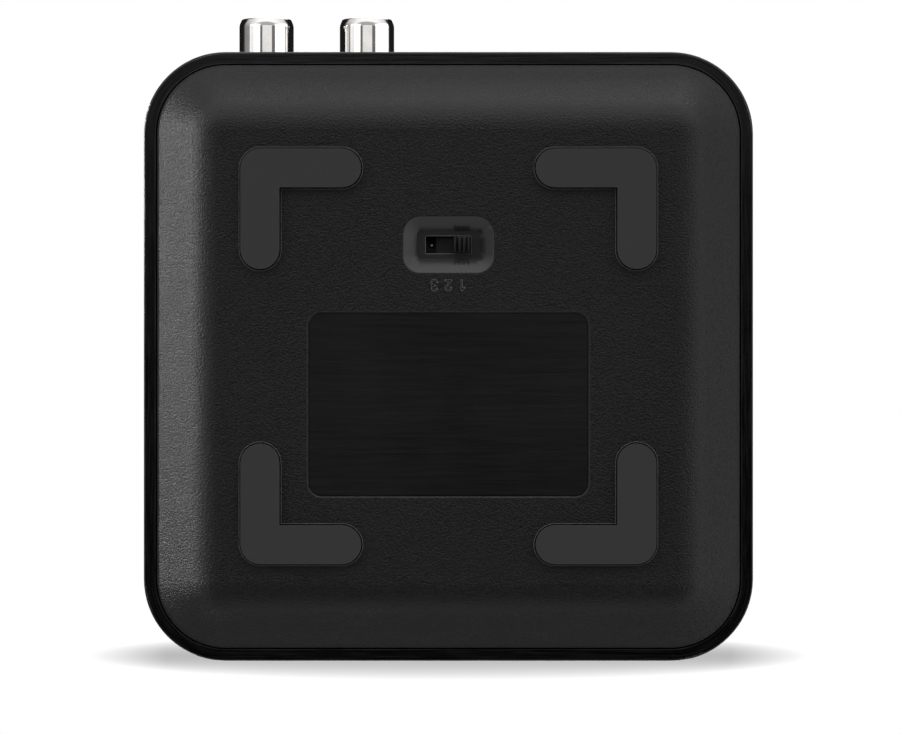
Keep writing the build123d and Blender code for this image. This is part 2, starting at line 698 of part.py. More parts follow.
def phono_centre_contacts():
    """Rolled sleeves that take the plug's centre pin, open along one seam."""
    sleeves = []
    root_y = PANEL_BACK_Y - PHONO_ROOT - PHONO_SLEEVE_ROOT
    tip_y = REAR_Y + PHONO_OVERHANG - INSULATOR_SETBACK - PHONO_SLEEVE_SETBACK
    floor_y = root_y + PHONO_SLEEVE_FLOOR
    for x in PHONO_X:
        sleeve = rear_rod(x, root_y, tip_y, PHONO_PIN_BORE_R + PHONO_SLEEVE_WALL)
        sleeve -= rear_rod(x, floor_y, tip_y, PHONO_PIN_BORE_R)
        middle_y = (floor_y + tip_y) / 2
        seam_height = 2 * PHONO_PIN_BORE_R
        sleeve -= block(x, middle_y, JACK_Z, PHONO_SLEEVE_SLIT, tip_y - floor_y, seam_height)
        sleeves.append(sleeve)
    return sleeves


def dc_jack_body():
    """Power inlet moulding with its collar in the rear panel."""
    body = block(
        DC_X,
        PANEL_BACK_Y - DC_BODY_DEPTH / 2,
        BOARD_TOP_Z,
        DC_BODY_WIDTH,
        DC_BODY_DEPTH,
        JACK_BLOCK_HEIGHT,
    )
    body += rear_rod(DC_X, PANEL_BACK_Y, PANEL_FRONT_Y, DC_COLLAR_R)
    return body - rear_rod(DC_X, PANEL_FRONT_Y - DC_BORE_LENGTH, PANEL_FRONT_Y, DC_BORE_R)


def dc_jack_pin():
    """Centre pin, rounded at its free end."""
    root_y = PANEL_FRONT_Y - DC_BORE_LENGTH
    tip_y = PANEL_FRONT_Y - DC_PIN_SETBACK
    pin = rear_rod(DC_X, root_y, tip_y, DC_PIN_R)
    return fillet(rear_edges_at(pin, tip_y), DC_PIN_R * DC_PIN_ROUND_SHARE)


def dc_jack_spring():
    """Solder tail of the inlet's barrel spring, through the board."""
    y = PANEL_FRONT_Y - DC_BORE_LENGTH / 2
    return block(DC_X, y, BOARD_LOW_Z, DC_SPRING_WIDTH, TAIL_SHEET, BOARD_THICK)


def line_jack_body():
    """3.5 mm output jack with its collar in the rear panel."""
    body = block(
        LINE_X,
        PANEL_BACK_Y - LINE_BODY_DEPTH / 2,
        BOARD_TOP_Z,
        LINE_BODY_WIDTH,
        LINE_BODY_DEPTH,
        JACK_AXIS_ABOVE_BOARD + LINE_ROOF,
    )
    body += rear_rod(LINE_X, PANEL_BACK_Y, PANEL_FRONT_Y, LINE_COLLAR_R)
    return body - rear_rod(LINE_X, PANEL_FRONT_Y - LINE_BORE_LENGTH, PANEL_FRONT_Y, LINE_BORE_R)


def line_jack_contacts():
    """Solder tails of the output jack, through the board."""
    tails = []
    for side in (-1, 1):
        for setback in LINE_TAIL_SETBACKS:
            x, y = LINE_X + side * LINE_TAIL_X, PANEL_BACK_Y - setback
            tails.append(block(x, y, BOARD_LOW_Z, LINE_TAIL_WIDTH, TAIL_SHEET, BOARD_THICK))
    return tails


# Board and what it carries


def main_board():
    """Circuit board with its clearance holes and the connectors' tail holes."""
    width = BODY_WIDTH - 2 * BOARD_SIDE_MARGIN
    centre_y = BOARD_REAR_Y - BOARD_DEPTH / 2
    board = upright_plate(
        width, BOARD_DEPTH, BOARD_CORNER_R, BOARD_LOW_Z, BOARD_TOP_Z, 0, centre_y
    )
    for side_x in (-1, 1):
        board -= rod(side_x * SCREW_X, SCREW_Y, BOARD_LOW_Z, BOARD_TOP_Z, BOSS_R + BOARD_BOSS_GAP)
    for x, y in BOARD_SCREWS:
        board -= rod(x, y, BOARD_LOW_Z, BOARD_TOP_Z, BOARD_SCREW_R + BOARD_SCREW_GAP)
    for pin_x in switch_pin_places():
        board -= rod(pin_x, SELECTOR_Y, BOARD_LOW_Z, BOARD_TOP_Z, PIN_R)
    for tail in line_jack_contacts():
        board -= tail
    return board - dc_jack_spring()


def board_screws():
    """Screws that hold the board to the casing's posts."""
    return [
        screw(
            x,
            y,
            BOARD_LOW_Z,
            BOARD_SCREW_HEAD_R,
            BOARD_SCREW_HEAD_THICK,
            BOARD_SCREW_R,
            BOARD_THICK + BOARD_SCREW_LENGTH - BOARD_SCREW_END_GAP,
        )
        for x, y in BOARD_SCREWS
    ]


# Radio module: x, y of its centre and its size on the board
MODULE_X = -24.0
MODULE_Y = -9.0
MODULE_SIZE = (13.5, 24.0, 0.8)
SHIELD_SIZE = (11.5, 15.0, 2.0)
SHIELD_SHEET = 0.2
SHIELD_CORNER_R = 0.8
SHIELD_Y = MODULE_Y + 3.5
RADIO_CHIP_SIZE = (6.0, 6.0, 1.0)
ANTENNA_SIZE = (7.0, 2.0, 1.0)
ANTENNA_Y = MODULE_Y - 9.5
MODULE_TOP_Z = BOARD_TOP_Z + MODULE_SIZE[2]


def radio_module_board():
    """Small board soldered flat on the main board."""
    return block(MODULE_X, MODULE_Y, BOARD_TOP_Z, *MODULE_SIZE)


def radio_shield_can():
    """Folded lid over the radio chip, open below."""
    lid = block(MODULE_X, SHIELD_Y, MODULE_TOP_Z, *SHIELD_SIZE)
    lid = fillet(lid.edges().filter_by(Axis.Z), SHIELD_CORNER_R)
    inner_width = SHIELD_SIZE[0] - 2 * SHIELD_SHEET
    inner_depth = SHIELD_SIZE[1] - 2 * SHIELD_SHEET
    inner_height = SHIELD_SIZE[2] - SHIELD_SHEET
    return lid - block(MODULE_X, SHIELD_Y, MODULE_TOP_Z, inner_width, inner_depth, inner_height)


def radio_chip():
    """Radio processor under the shield."""
    return block(MODULE_X, SHIELD_Y, MODULE_TOP_Z, *RADIO_CHIP_SIZE)


def chip_antenna():
    """Ceramic antenna at the module's front edge."""
    return block(MODULE_X, ANTENNA_Y, MODULE_TOP_Z, *ANTENNA_SIZE)


CHIP_STAND_OFF = 0.1
LEAD_LENGTH = 0.9
LEAD_CENTRE = 0.4  # outside the chip's side
LEAD_HEIGHT = 0.35
LEAD_WIDTH_SHARE = 0.4  # of the pitch


def leaded_chip(x, y, body, lead_count, lead_pitch):
    """A chip with flat leads along its two long sides."""
    width, depth, height = body
    chip = block(x, y, BOARD_TOP_Z + CHIP_STAND_OFF, width, depth, height)
    lead_size = (LEAD_LENGTH, lead_pitch * LEAD_WIDTH_SHARE, LEAD_HEIGHT)
    for side in (-1, 1):
        lead_x = x + side * (width / 2 + LEAD_CENTRE)
        for lead in range(lead_count):
            lead_y = y + (lead - (lead_count - 1) / 2) * lead_pitch
            chip += block(lead_x, lead_y, BOARD_TOP_Z, *lead_size)
    return chip


# Chips: x, y, body size, leads a side and their pitch
LEADED_CHIPS = {
    "converter_chip": (14.0, 8.0, (4.4, 6.5, 1.0), 10, 0.65),
    "amplifier_chip": (14.0, 22.0, (3.9, 4.9, 1.5), 4, 1.27),
    "regulator_chip": (-16.0, 14.0, (3.5, 6.5, 1.6), 3, 2.3),
    "memory_chip": (-8.0, -12.0, (3.9, 4.9, 1.5), 4, 1.27),
}

CAPACITORS = ((25.0, 14.0), (25.0, 5.0), (33.0, 5.0), (24.0, -6.0), (-25.0, 16.0))
CAPACITOR_R = 2.5
CAPACITOR_HEIGHT = 5.8
CAPACITOR_TOP_R = 0.4
GROOVE_LOW = 1.3
GROOVE_HIGH = 1.8
GROOVE_DEPTH = 0.2


def electrolytic_capacitors():
    """Aluminium cans, grooved near the foot."""
    cans = []
    for x, y in CAPACITORS:
        can = rod(x, y, BOARD_TOP_Z, BOARD_TOP_Z + CAPACITOR_HEIGHT, CAPACITOR_R)
        can = fillet(edges_at(can, BOARD_TOP_Z + CAPACITOR_HEIGHT), CAPACITOR_TOP_R)
        low_z, high_z = BOARD_TOP_Z + GROOVE_LOW, BOARD_TOP_Z + GROOVE_HIGH
        groove = rod(x, y, low_z, high_z, CAPACITOR_R + GROOVE_DEPTH)
        groove -= rod(x, y, low_z, high_z, CAPACITOR_R - GROOVE_DEPTH)
        cans.append(can - groove)
    return cans


INDUCTOR_PLACE = (-34.0, 4.0)
INDUCTOR_SIZE = (6.0, 6.0, 2.8)
INDUCTOR_CORNER_R = 1.5
CRYSTAL_PLACE = (6.0, 12.0)
CRYSTAL_SIZE = (3.2, 2.5, 0.8)


def power_inductor():
    """Wound inductor of the supply."""
    width, depth, height = INDUCTOR_SIZE
    top_z = BOARD_TOP_Z + height
    return upright_plate(width, depth, INDUCTOR_CORNER_R, BOARD_TOP_Z, top_z, *INDUCTOR_PLACE)


def crystal():
    """Clock crystal beside the converter."""
    return block(*CRYSTAL_PLACE, BOARD_TOP_Z, *CRYSTAL_SIZE)


# Rows of small parts: x, first y and how many
PASSIVE_ROWS = ((20.0, 4.0, 6), (6.0, 24.0, 5), (-6.0, 30.0, 6), (8.0, -8.0, 7), (-14.0, 24.0, 4))
PASSIVE_SIZE = (1.6, 0.8, 0.6)
PASSIVE_PITCH = 2.0


def small_passives():
    """Rows of chip resistors and capacitors."""
    parts = []
    for row_x, row_y, count in PASSIVE_ROWS:
        for place in range(count):
            y = row_y - place * PASSIVE_PITCH
            parts.append(block(row_x, y, BOARD_TOP_Z, *PASSIVE_SIZE))
    return parts


# Pairing button and indicator


def tact_heights():
    """Top of the tactile switch's body, of its cover and of its plunger."""
    body_top = BOARD_TOP_Z + TACT_HEIGHT
    cover_top = body_top + TACT_COVER_THICK
    return body_top, cover_top, cover_top + PLUNGER_PROUD


def pairing_button():
    """Round cap kept in by a flange under the deck, with a stem to the switch."""
    _, _, plunger_top = tact_heights()
    top_z = TOP_Z + BUTTON_PROUD
    flange_top_z = DECK_LOW_Z - BUTTON_FLANGE_GAP
    flange_low_z = flange_top_z - BUTTON_FLANGE_THICK
    cap = rod(0, 0, flange_top_z, top_z, BUTTON_R)
    cap = fillet(edges_at(cap, top_z), BUTTON_EDGE_R)
    dish_r = BUTTON_R - BUTTON_DISH_RIM
    dish_depth = BUTTON_DISH_R - math.sqrt(BUTTON_DISH_R**2 - dish_r**2)
    cap -= Pos(0, 0, top_z - dish_depth + BUTTON_DISH_R) * Sphere(BUTTON_DISH_R)
    cap += rod(0, 0, flange_low_z, flange_top_z, BUTTON_R + BUTTON_FLANGE)
    return cap + rod(0, 0, plunger_top, flange_low_z, BUTTON_STEM_R)


def tact_switch_body():
    """Moulded body with the plunger's well."""
    body_top, _, _ = tact_heights()
    body = block(0, 0, BOARD_TOP_Z, TACT_SIDE, TACT_SIDE, TACT_HEIGHT)
    well_z = body_top - PLUNGER_ROOT - BUTTON_TRAVEL - WELL_FLOOR_GAP
    return body - rod(0, 0, well_z, body_top, PLUNGER_R + PLUNGER_GAP)


def tact_switch_cover():
    """Metal plate that keeps the plunger in."""
    body_top, cover_top, _ = tact_heights()
    side = TACT_SIDE - 2 * TACT_COVER_INSET
    plate = block(0, 0, body_top, side, side, TACT_COVER_THICK)
    return plate - rod(0, 0, body_top, cover_top, PLUNGER_R + PLUNGER_GAP)


def tact_plunger():
    """Plunger that the button presses."""
    body_top, _, plunger_top = tact_heights()
    return rod(0, 0, body_top - PLUNGER_ROOT, plunger_top, PLUNGER_R)


def status_led():
    """Chip lamp under the light pipe."""
    return block(0, INDICATOR_Y, BOARD_TOP_Z, *LED_SIZE)


def light_pipe():
    """Clear rod from the lamp to the top panel."""
    low_z = BOARD_TOP_Z + LED_SIZE[2] + LED_GAP
    top_z = TOP_Z + PIPE_PROUD
    pipe = rod(0, INDICATOR_Y, low_z, top_z, PIPE_R)
    pipe = fillet(edges_at(pipe, top_z), PIPE_EDGE_R)
    return pipe + rod(0, INDICATOR_Y, DECK_LOW_Z - PIPE_FLANGE_THICK, DECK_LOW_Z, PIPE_FLANGE_R)


# Export


def sub_parts():
    """Every node by name."""
    parts = {
        "upper_casing": upper_casing(),
        "top_panel": top_panel(),
        "bottom_cover": bottom_cover(),
        "rating_label": rating_label(),
        "case_screws": case_screws(),
        "slide_switch_frame": slide_switch_frame(),
        "slide_switch_base": slide_switch_base(),
        "slide_switch_contacts": slide_switch_contacts(),
        "selector_knob": selector_knob(),
        "selector_wiper": selector_wiper(),
        "rear_panel": rear_panel(),
        "phono_jack_block": phono_jack_block(),
        "phono_centre_contacts": phono_centre_contacts(),
        "dc_jack_body": dc_jack_body(),
        "dc_jack_pin": dc_jack_pin(),
        "dc_jack_spring": dc_jack_spring(),
        "line_jack_body": line_jack_body(),
        "line_jack_contacts": line_jack_contacts(),
        "main_board": main_board(),
        "board_screws": board_screws(),
        "radio_module_board": radio_module_board(),
        "radio_shield_can": radio_shield_can(),
        "radio_chip": radio_chip(),
        "chip_antenna": chip_antenna(),
        "electrolytic_capacitors": electrolytic_capacitors(),
        "power_inductor": power_inductor(),
        "crystal": crystal(),
        "small_passives": small_passives(),
        "pairing_button": pairing_button(),
        "tact_switch_body": tact_switch_body(),
        "tact_switch_cover": tact_switch_cover(),
        "tact_plunger": tact_plunger(),
        "status_led": status_led(),
        "light_pipe": light_pipe(),
    }
    for name, chip in LEADED_CHIPS.items():
        parts[name] = leaded_chip(*chip)
    for (side_x, side_y), place in zip(
        CORNERS, ("rear_right", "rear_left", "front_right", "front_left")
    ):
        parts[f"foot_{place}"] = foot(side_x, side_y)
    for x, side, colour in zip(PHONO_X, ("right", "left"), ("red", "white")):
        parts[f"phono_shell_{side}"] = phono_shell(x)
        parts[f"phono_insulator_{colour}"] = phono_insulator(x)
    return parts


def main():
    """Write one file per node, moved so that the origin is the footprint's centre."""
    os.makedirs("parts", exist_ok=True)
    for name, shape in sub_parts().items():
        pieces = shape if isinstance(shape, list) else [shape]
        solids = [solid for piece in pieces for solid in piece.solids()]
        moved = [solid.moved(Location((0, ORIGIN_SHIFT_Y, 0))) for solid in solids]
        export_step(moved[0] if len(moved) == 1 else Compound(moved), f"parts/{name}.step")


main()
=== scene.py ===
"""Looks for a small square bluetooth audio receiver.

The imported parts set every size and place. This script gives each of them its finish,
stands finer pieces in for the ones that are seen closely, and sets up a small white studio
whose camera looks straight at the underside, with the sockets at the top.
"""

import math

import bmesh
import bpy
from mathutils import Matrix, Vector


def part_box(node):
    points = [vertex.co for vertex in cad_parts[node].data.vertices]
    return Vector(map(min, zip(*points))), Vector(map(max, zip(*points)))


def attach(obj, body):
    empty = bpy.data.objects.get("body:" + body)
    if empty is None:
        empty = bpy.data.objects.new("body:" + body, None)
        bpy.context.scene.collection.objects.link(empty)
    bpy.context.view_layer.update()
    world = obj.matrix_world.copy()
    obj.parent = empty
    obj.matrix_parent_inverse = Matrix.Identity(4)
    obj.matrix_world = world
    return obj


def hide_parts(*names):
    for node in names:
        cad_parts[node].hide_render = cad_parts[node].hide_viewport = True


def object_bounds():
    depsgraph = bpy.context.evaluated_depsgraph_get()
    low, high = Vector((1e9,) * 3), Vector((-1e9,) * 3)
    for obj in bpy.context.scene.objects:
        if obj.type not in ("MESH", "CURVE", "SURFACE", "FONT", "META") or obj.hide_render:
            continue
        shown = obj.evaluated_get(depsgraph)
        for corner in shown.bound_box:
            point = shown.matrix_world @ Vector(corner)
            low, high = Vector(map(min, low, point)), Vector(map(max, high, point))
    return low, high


MM = 0.001
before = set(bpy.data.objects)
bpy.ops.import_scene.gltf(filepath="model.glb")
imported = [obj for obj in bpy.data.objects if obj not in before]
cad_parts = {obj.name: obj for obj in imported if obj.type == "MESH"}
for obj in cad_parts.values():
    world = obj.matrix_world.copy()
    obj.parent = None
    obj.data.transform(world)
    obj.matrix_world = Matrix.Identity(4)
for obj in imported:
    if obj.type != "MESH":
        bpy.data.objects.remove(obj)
cad_low, cad_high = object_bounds()


# ---------------------------------------------------------------- mixing a finish


class Mixing:
    """A node tree being wired: each call adds a node and gives back its output."""

    def __init__(self, tree):
        self.tree = tree

    def node(self, kind, feeds=(), **settings):
        """Adds a node, with each feed a value or another node's output."""
        made = self.tree.nodes.new(kind)
        for setting, value in settings.items():
            setattr(made, setting, value)
        for socket, value in dict(feeds).items():
            self.join(value, made.inputs[socket])
        return made

    def join(self, value, socket):
        if isinstance(value, bpy.types.NodeSocket):
            self.tree.links.new(value, socket)
        else:
            socket.default_value = value

    def sums(self, operation, first, second=0.0, clamp=False):
        feeds = {0: first, 1: second}
        return self.node("ShaderNodeMath", feeds, operation=operation, use_clamp=clamp).outputs[0]

    def spread(self, value, low, high, to_low, to_high, easing="LINEAR"):
        """value from low to high becomes to_low to to_high, held at the ends."""
        feeds = {
            "Value": value, "From Min": low, "From Max": high, "To Min": to_low, "To Max": to_high,
        }
        return self.node("ShaderNodeMapRange", feeds, interpolation_type=easing).outputs["Result"]

    def length(self, first, second):
        squared = [self.sums("MULTIPLY", side, side) for side in (first, second)]
        return self.sums("SQRT", self.sums("ADD", *squared))

    def split(self, place):
        return self.node("ShaderNodeSeparateXYZ", {"Vector": place}).outputs

    def shared(self, amount, first, second):
        """Two shaders mixed: first where amount is 0, second where it is 1."""
        return self.node("ShaderNodeMixShader", {0: amount, 1: first, 2: second}).outputs[0]


class Finish(Mixing):
    """One finish: a principled shader and the patterns that feed it."""

    def __init__(self, name, fixed):
        self.material = bpy.data.materials.new(name)
        self.material.use_nodes = True
        super().__init__(self.material.node_tree)
        self.shader = self.tree.nodes["Principled BSDF"]
        for socket, value in fixed.items():
            self.shader.inputs[socket].default_value = value
        self.here = self.node("ShaderNodeTexCoord").outputs["Object"]

    def stretched(self, by, turn=(0, 0, 0)):
        """The object's own coordinates, stretched along its axes."""
        feeds = {"Vector": self.here, "Scale": by, "Rotation": turn}
        return self.node("ShaderNodeMapping", feeds).outputs["Vector"]

    def specks(self, size, place=None, detail=2.0, rough=0.5, warp=0.0):
        """A random field from 0 to 1, with features about size millimetres across."""
        feeds = {
            "Vector": place or self.here,
            "Scale": 1 / (size * MM),
            "Detail": detail,
            "Roughness": rough,
            "Distortion": warp,
        }
        return self.node("ShaderNodeTexNoise", feeds).outputs["Fac"]

    def cells(self, size, place=None, feature="F1"):
        """Distance to the nearest of many scattered points, size millimetres apart."""
        feeds = {"Vector": place or self.here, "Scale": 1 / (size * MM)}
        return self.node("ShaderNodeTexVoronoi", feeds, feature=feature).outputs["Distance"]

    def rims(self, reach):
        """1 along outward edges and 0 elsewhere, reaching about reach millimetres in from them."""
        inside = {"samples": 8, "inside": True, "only_local": True}
        open_share = self.node("ShaderNodeAmbientOcclusion", {"Distance": reach * MM}, **inside).outputs["AO"]
        return self.spread(open_share, 0.45, 0.9, 1, 0)

    def tint(self, amount, first, second):
        """first where amount is 0, second where it is 1."""
        made = self.node("ShaderNodeMix", data_type="RGBA")
        self.join(amount, made.inputs["Factor"])
        for socket, colour in ((made.inputs[6], first), (made.inputs[7], second)):
            if isinstance(colour, bpy.types.NodeSocket):
                self.tree.links.new(colour, socket)
            else:
                socket.default_value = (*colour, 1)
        return made.outputs[2]

    def relief(self, height, depth, over=None, strength=1.0):
        """Raises the surface by height times depth millimetres, on top of another relief."""
        feeds = {"Height": height, "Distance": depth * MM, "Strength": strength}
        if over is not None:
            feeds["Normal"] = over
        return self.node("ShaderNodeBump", feeds).outputs["Normal"]

    def wear(self, **outputs):
        """Wires the patterns into the shader and gives back the material."""
        names = {"colour": "Base Color", "rough": "Roughness", "normal": "Normal"}
        for key, value in outputs.items():
            self.join(value, self.shader.inputs[names[key]])
        return self.material


# ---------------------------------------------------------------- the finishes

GRAIN_SIZE = 0.27
CASE_HALF = (cad_high.x - cad_low.x) / 2
CASE_CORNER = 12.4 * MM
case_low, case_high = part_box("upper_casing")
CASE_CENTRE_Y = (case_low.y + case_high.y) / 2
switch_low, switch_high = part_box("slide_switch_frame")
BOWL_CENTRE = (switch_low + switch_high) / 2
BOWL_REACH = Vector((6.9, 4.4, 0)) * MM
FLAT_Z = 1.0 * MM
FLAT_SLACK = 0.02 * MM
RIM_STEP = 2.3 * MM
SLOW_ALONG_RING = 0.035


def ring_place(f):
    """Coordinates that follow the casing's outline: x and y slowly, distance from the middle fast."""
    x, y, z = f.split(f.here)
    straight = CASE_HALF - CASE_CORNER
    away = [
        f.sums("ABSOLUTE", f.sums("SUBTRACT", value, middle))
        for value, middle in ((x, 0.0), (y, CASE_CENTRE_Y))
    ]
    past = [f.sums("MAXIMUM", f.sums("SUBTRACT", side, straight), 0.0) for side in away]
    slow_x, slow_y = (f.sums("MULTIPLY", side, SLOW_ALONG_RING) for side in (x, y))
    out = f.sums("ADD", f.length(*past), z)
    return f.node("ShaderNodeCombineXYZ", {"X": slow_x, "Y": slow_y, "Z": out}).outputs[0]


def casing_black():
    """Dark moulding with hairlines that run round it, deeper on the rim that faces down, and a painted
    highlight along its outward edges that also stands for edge wear.
    """
    f = Finish("casing_black", {"IOR": 1.5, "Coat Weight": 0.25, "Coat Roughness": 0.12})
    hair = f.specks(0.26, ring_place(f), detail=3.0, rough=0.65)
    cloud = f.specks(9.0, detail=3.0)
    underside = f.sums("LESS_THAN", f.split(f.here)[2], case_low.z + RIM_STEP)
    streak = f.sums("MULTIPLY", hair, f.spread(underside, 0, 1, 0.45, 1.3))
    rough = f.sums("ADD", f.spread(hair, 0.35, 0.65, 0.13, 0.22), f.spread(cloud, 0.3, 0.7, -0.02, 0.05))
    colour = f.tint(f.spread(hair, 0.45, 0.68, 0, 1), (0.0016, 0.0016, 0.0018), (0.0115, 0.0116, 0.012))
    # Painted highlight: outward edges are lightened in colour to stand in for light catching them, broken up
    # by the hairlines like edge wear.
    worn_and_highlit_edges = f.sums("MULTIPLY", f.rims(0.22), f.spread(hair, 0.3, 0.7, 0.3, 1))
    colour = f.tint(worn_and_highlit_edges, colour, (0.075, 0.075, 0.077))
    return f.wear(colour=colour, rough=rough, normal=f.relief(streak, 0.014))


def panel_black():
    f = Finish("panel_black", {"IOR": 1.52, "Coat Weight": 0.6, "Coat Roughness": 0.06})
    smear = f.specks(14.0, detail=4.0, rough=0.6, warp=0.6)
    ripple = f.specks(1.6, detail=1.0)
    speck = f.specks(0.35, detail=2.0)
    rough = f.sums("ADD", f.spread(smear, 0.35, 0.7, 0.14, 0.19), f.spread(speck, 0.62, 0.75, 0, 0.15))
    colour = f.tint(f.spread(speck, 0.64, 0.74, 0, 1), (0.0045, 0.0047, 0.005), (0.014, 0.014, 0.014))
    return f.wear(colour=colour, rough=rough, normal=f.relief(ripple, 0.004))


def cover_black():
    """Finely grained moulding, smooth inside the selector's bowl and on the raised figures, with painted
    highlights along its outward edges and a bowl painted lighter as painted reflection.
    """
    f = Finish("cover_black", {"IOR": 1.5})
    grain = f.specks(GRAIN_SIZE, detail=2.0, rough=0.6)
    cloud = f.specks(11.0, detail=3.0)
    rub = f.specks(2.4, detail=4.0, rough=0.65)
    x, y, z = f.split(f.here)
    near_x = f.sums("LESS_THAN", f.sums("ABSOLUTE", f.sums("SUBTRACT", x, BOWL_CENTRE.x)), BOWL_REACH.x)
    near_y = f.sums("LESS_THAN", f.sums("ABSOLUTE", f.sums("SUBTRACT", y, BOWL_CENTRE.y)), BOWL_REACH.y)
    sunk = f.sums("GREATER_THAN", z, FLAT_Z + FLAT_SLACK)
    in_bowl = f.sums("MULTIPLY", f.sums("MULTIPLY", near_x, near_y), sunk)
    smooth = f.sums("MAXIMUM", in_bowl, f.sums("LESS_THAN", z, FLAT_Z - FLAT_SLACK))
    rough = f.sums("ADD", f.spread(grain, 0.3, 0.7, 0.3, 0.42), f.spread(cloud, 0.3, 0.7, -0.03, 0.03))
    rough = f.sums("SUBTRACT", rough, f.spread(rub, 0.62, 0.8, 0, 0.05))
    rough = f.sums("SUBTRACT", rough, f.sums("MULTIPLY", smooth, 0.21))
    colour = f.tint(f.spread(grain, 0.35, 0.68, 0, 1), (0.003, 0.003, 0.0033), (0.016, 0.016, 0.0165))
    # Painted reflection: the bowl's colour is raised above the cover's to stand in for the brighter
    # reflections its walls show.
    colour = f.tint(in_bowl, colour, (0.042, 0.042, 0.0425))
    # Painted highlight: outward edges, with the raised figures' outlines and the bowl's rim, are lightened in
    # colour to stand in for light catching them, which also stands for edge wear.
    colour = f.tint(f.rims(0.18), colour, (0.3, 0.3, 0.303))
    height = f.sums("MULTIPLY", grain, f.spread(smooth, 0, 1, 1, 0.03))
    return f.wear(colour=colour, rough=rough, normal=f.relief(height, 0.14))


def panel_satin():
    f = Finish("panel_satin", {"IOR": 1.5})
    grain = f.specks(0.13, detail=2.0)
    cloud = f.specks(6.0, detail=3.0)
    rough = f.sums("ADD", f.spread(grain, 0.3, 0.7, 0.34, 0.46), f.spread(cloud, 0.3, 0.7, -0.04, 0.04))
    colour = f.tint(grain, (0.0085, 0.0086, 0.009), (0.016, 0.016, 0.0165))
    return f.wear(colour=colour, rough=rough, normal=f.relief(grain, 0.008))


def foot_rubber():
    f = Finish("foot_rubber", {"IOR": 1.46, "Specular IOR Level": 0.35, "Sheen Weight": 0.06})
    f.shader.inputs["Sheen Roughness"].default_value = 0.5
    pores = f.specks(0.09, detail=2.0, rough=0.6)
    dust = f.specks(3.2, detail=4.0, rough=0.65)
    rough = f.sums("ADD", f.spread(pores, 0.3, 0.7, 0.66, 0.8), f.spread(dust, 0.35, 0.7, 0.05, -0.05))
    colour = f.tint(f.spread(pores, 0.3, 0.7, 0, 1), (0.056, 0.056, 0.0585), (0.067, 0.067, 0.069))
    colour = f.tint(f.spread(dust, 0.6, 0.85, 0, 0.4), colour, (0.075, 0.073, 0.071))
    return f.wear(colour=colour, rough=rough, normal=f.relief(pores, 0.006))


def label_black():
    f = Finish("label_black", {"IOR": 1.5, "Anisotropic": 0.35})
    hair = f.specks(0.16, f.stretched((0.022, 1, 1)), detail=4.0, rough=0.62)
    long_hair = f.specks(0.5, f.stretched((0.03, 1, 1)), detail=2.0)
    cloud = f.specks(9.0, detail=3.0)
    mixed = f.sums("ADD", f.sums("MULTIPLY", hair, 0.65), f.sums("MULTIPLY", long_hair, 0.35))
    rough = f.sums("ADD", f.spread(mixed, 0.3, 0.7, 0.28, 0.42), f.spread(cloud, 0.3, 0.7, -0.02, 0.04))
    colour = f.tint(f.spread(mixed, 0.38, 0.7, 0, 1), (0.0032, 0.0033, 0.0035), (0.0085, 0.0085, 0.0087))
    return f.wear(colour=colour, rough=rough, normal=f.relief(mixed, 0.006))


def plating():
    f = Finish("plating", {"Metallic": 1.0})
    lathe_marks = f.specks(0.06, f.stretched((0.1, 1, 0.1)), detail=3.0, rough=0.6)
    bloom = f.specks(1.6, detail=4.0, rough=0.6)
    rough = f.sums("ADD", f.spread(lathe_marks, 0.3, 0.7, 0.025, 0.06), f.spread(bloom, 0.45, 0.8, 0, 0.05))
    colour = f.tint(f.spread(bloom, 0.4, 0.8, 0, 1), (0.86, 0.84, 0.82), (0.74, 0.71, 0.68))
    return f.wear(colour=colour, rough=rough, normal=f.relief(lathe_marks, 0.002))


def contact_metal():
    f = Finish("contact_metal", {"Metallic": 1.0})
    rolled = f.specks(0.08, f.stretched((0.15, 1, 1)), detail=3.0)
    tarnish = f.specks(0.7, detail=4.0, rough=0.6)
    rough = f.sums("ADD", f.spread(rolled, 0.3, 0.7, 0.16, 0.3), f.spread(tarnish, 0.4, 0.75, 0, 0.12))
    colour = f.tint(f.spread(tarnish, 0.4, 0.75, 0, 1), (0.78, 0.72, 0.6), (0.5, 0.42, 0.3))
    return f.wear(colour=colour, rough=rough, normal=f.relief(rolled, 0.002))


def moulded(name, light, dark, low, high, grain_size=0.12, depth=0.006, fixed=None):
    """Plain moulded plastic: two close tones, a fine grain and soft clouds of gloss."""
    f = Finish(name, {"IOR": 1.5, **(fixed or {})})
    grain = f.specks(grain_size, detail=2.0)
    cloud = f.specks(2.2, detail=3.0)
    rough = f.sums("ADD", f.spread(grain, 0.3, 0.7, low, high), f.spread(cloud, 0.3, 0.7, -0.04, 0.04))
    colour = f.tint(f.spread(f.sums("ADD", grain, cloud), 0.7, 1.3, 0, 1), dark, light)
    return f.wear(colour=colour, rough=rough, normal=f.relief(grain, depth))


def sheet_steel():
    f = Finish("sheet_steel", {"Metallic": 1.0})
    rolled = f.specks(0.1, f.stretched((0.05, 1, 1)), detail=3.0)
    flakes = f.cells(1.3)
    rough = f.sums("ADD", f.spread(rolled, 0.3, 0.7, 0.22, 0.36), f.spread(flakes, 0.1, 0.8, 0, 0.08))
    colour = f.tint(f.spread(flakes, 0.1, 0.8, 0, 1), (0.62, 0.61, 0.59), (0.48, 0.47, 0.46))
    return f.wear(colour=colour, rough=rough, normal=f.relief(rolled, 0.002))


def screw_steel():
    f = Finish("screw_steel", {"Metallic": 1.0})
    lathe_marks = f.specks(0.07, f.stretched((1, 1, 0.2)), detail=3.0)
    cloud = f.specks(0.9, detail=4.0)
    rough = f.spread(f.sums("ADD", lathe_marks, cloud), 0.7, 1.3, 0.24, 0.42)
    colour = f.tint(f.spread(cloud, 0.35, 0.7, 0, 1), (0.36, 0.36, 0.37), (0.2, 0.19, 0.18))
    return f.wear(colour=colour, rough=rough, normal=f.relief(lathe_marks, 0.003))


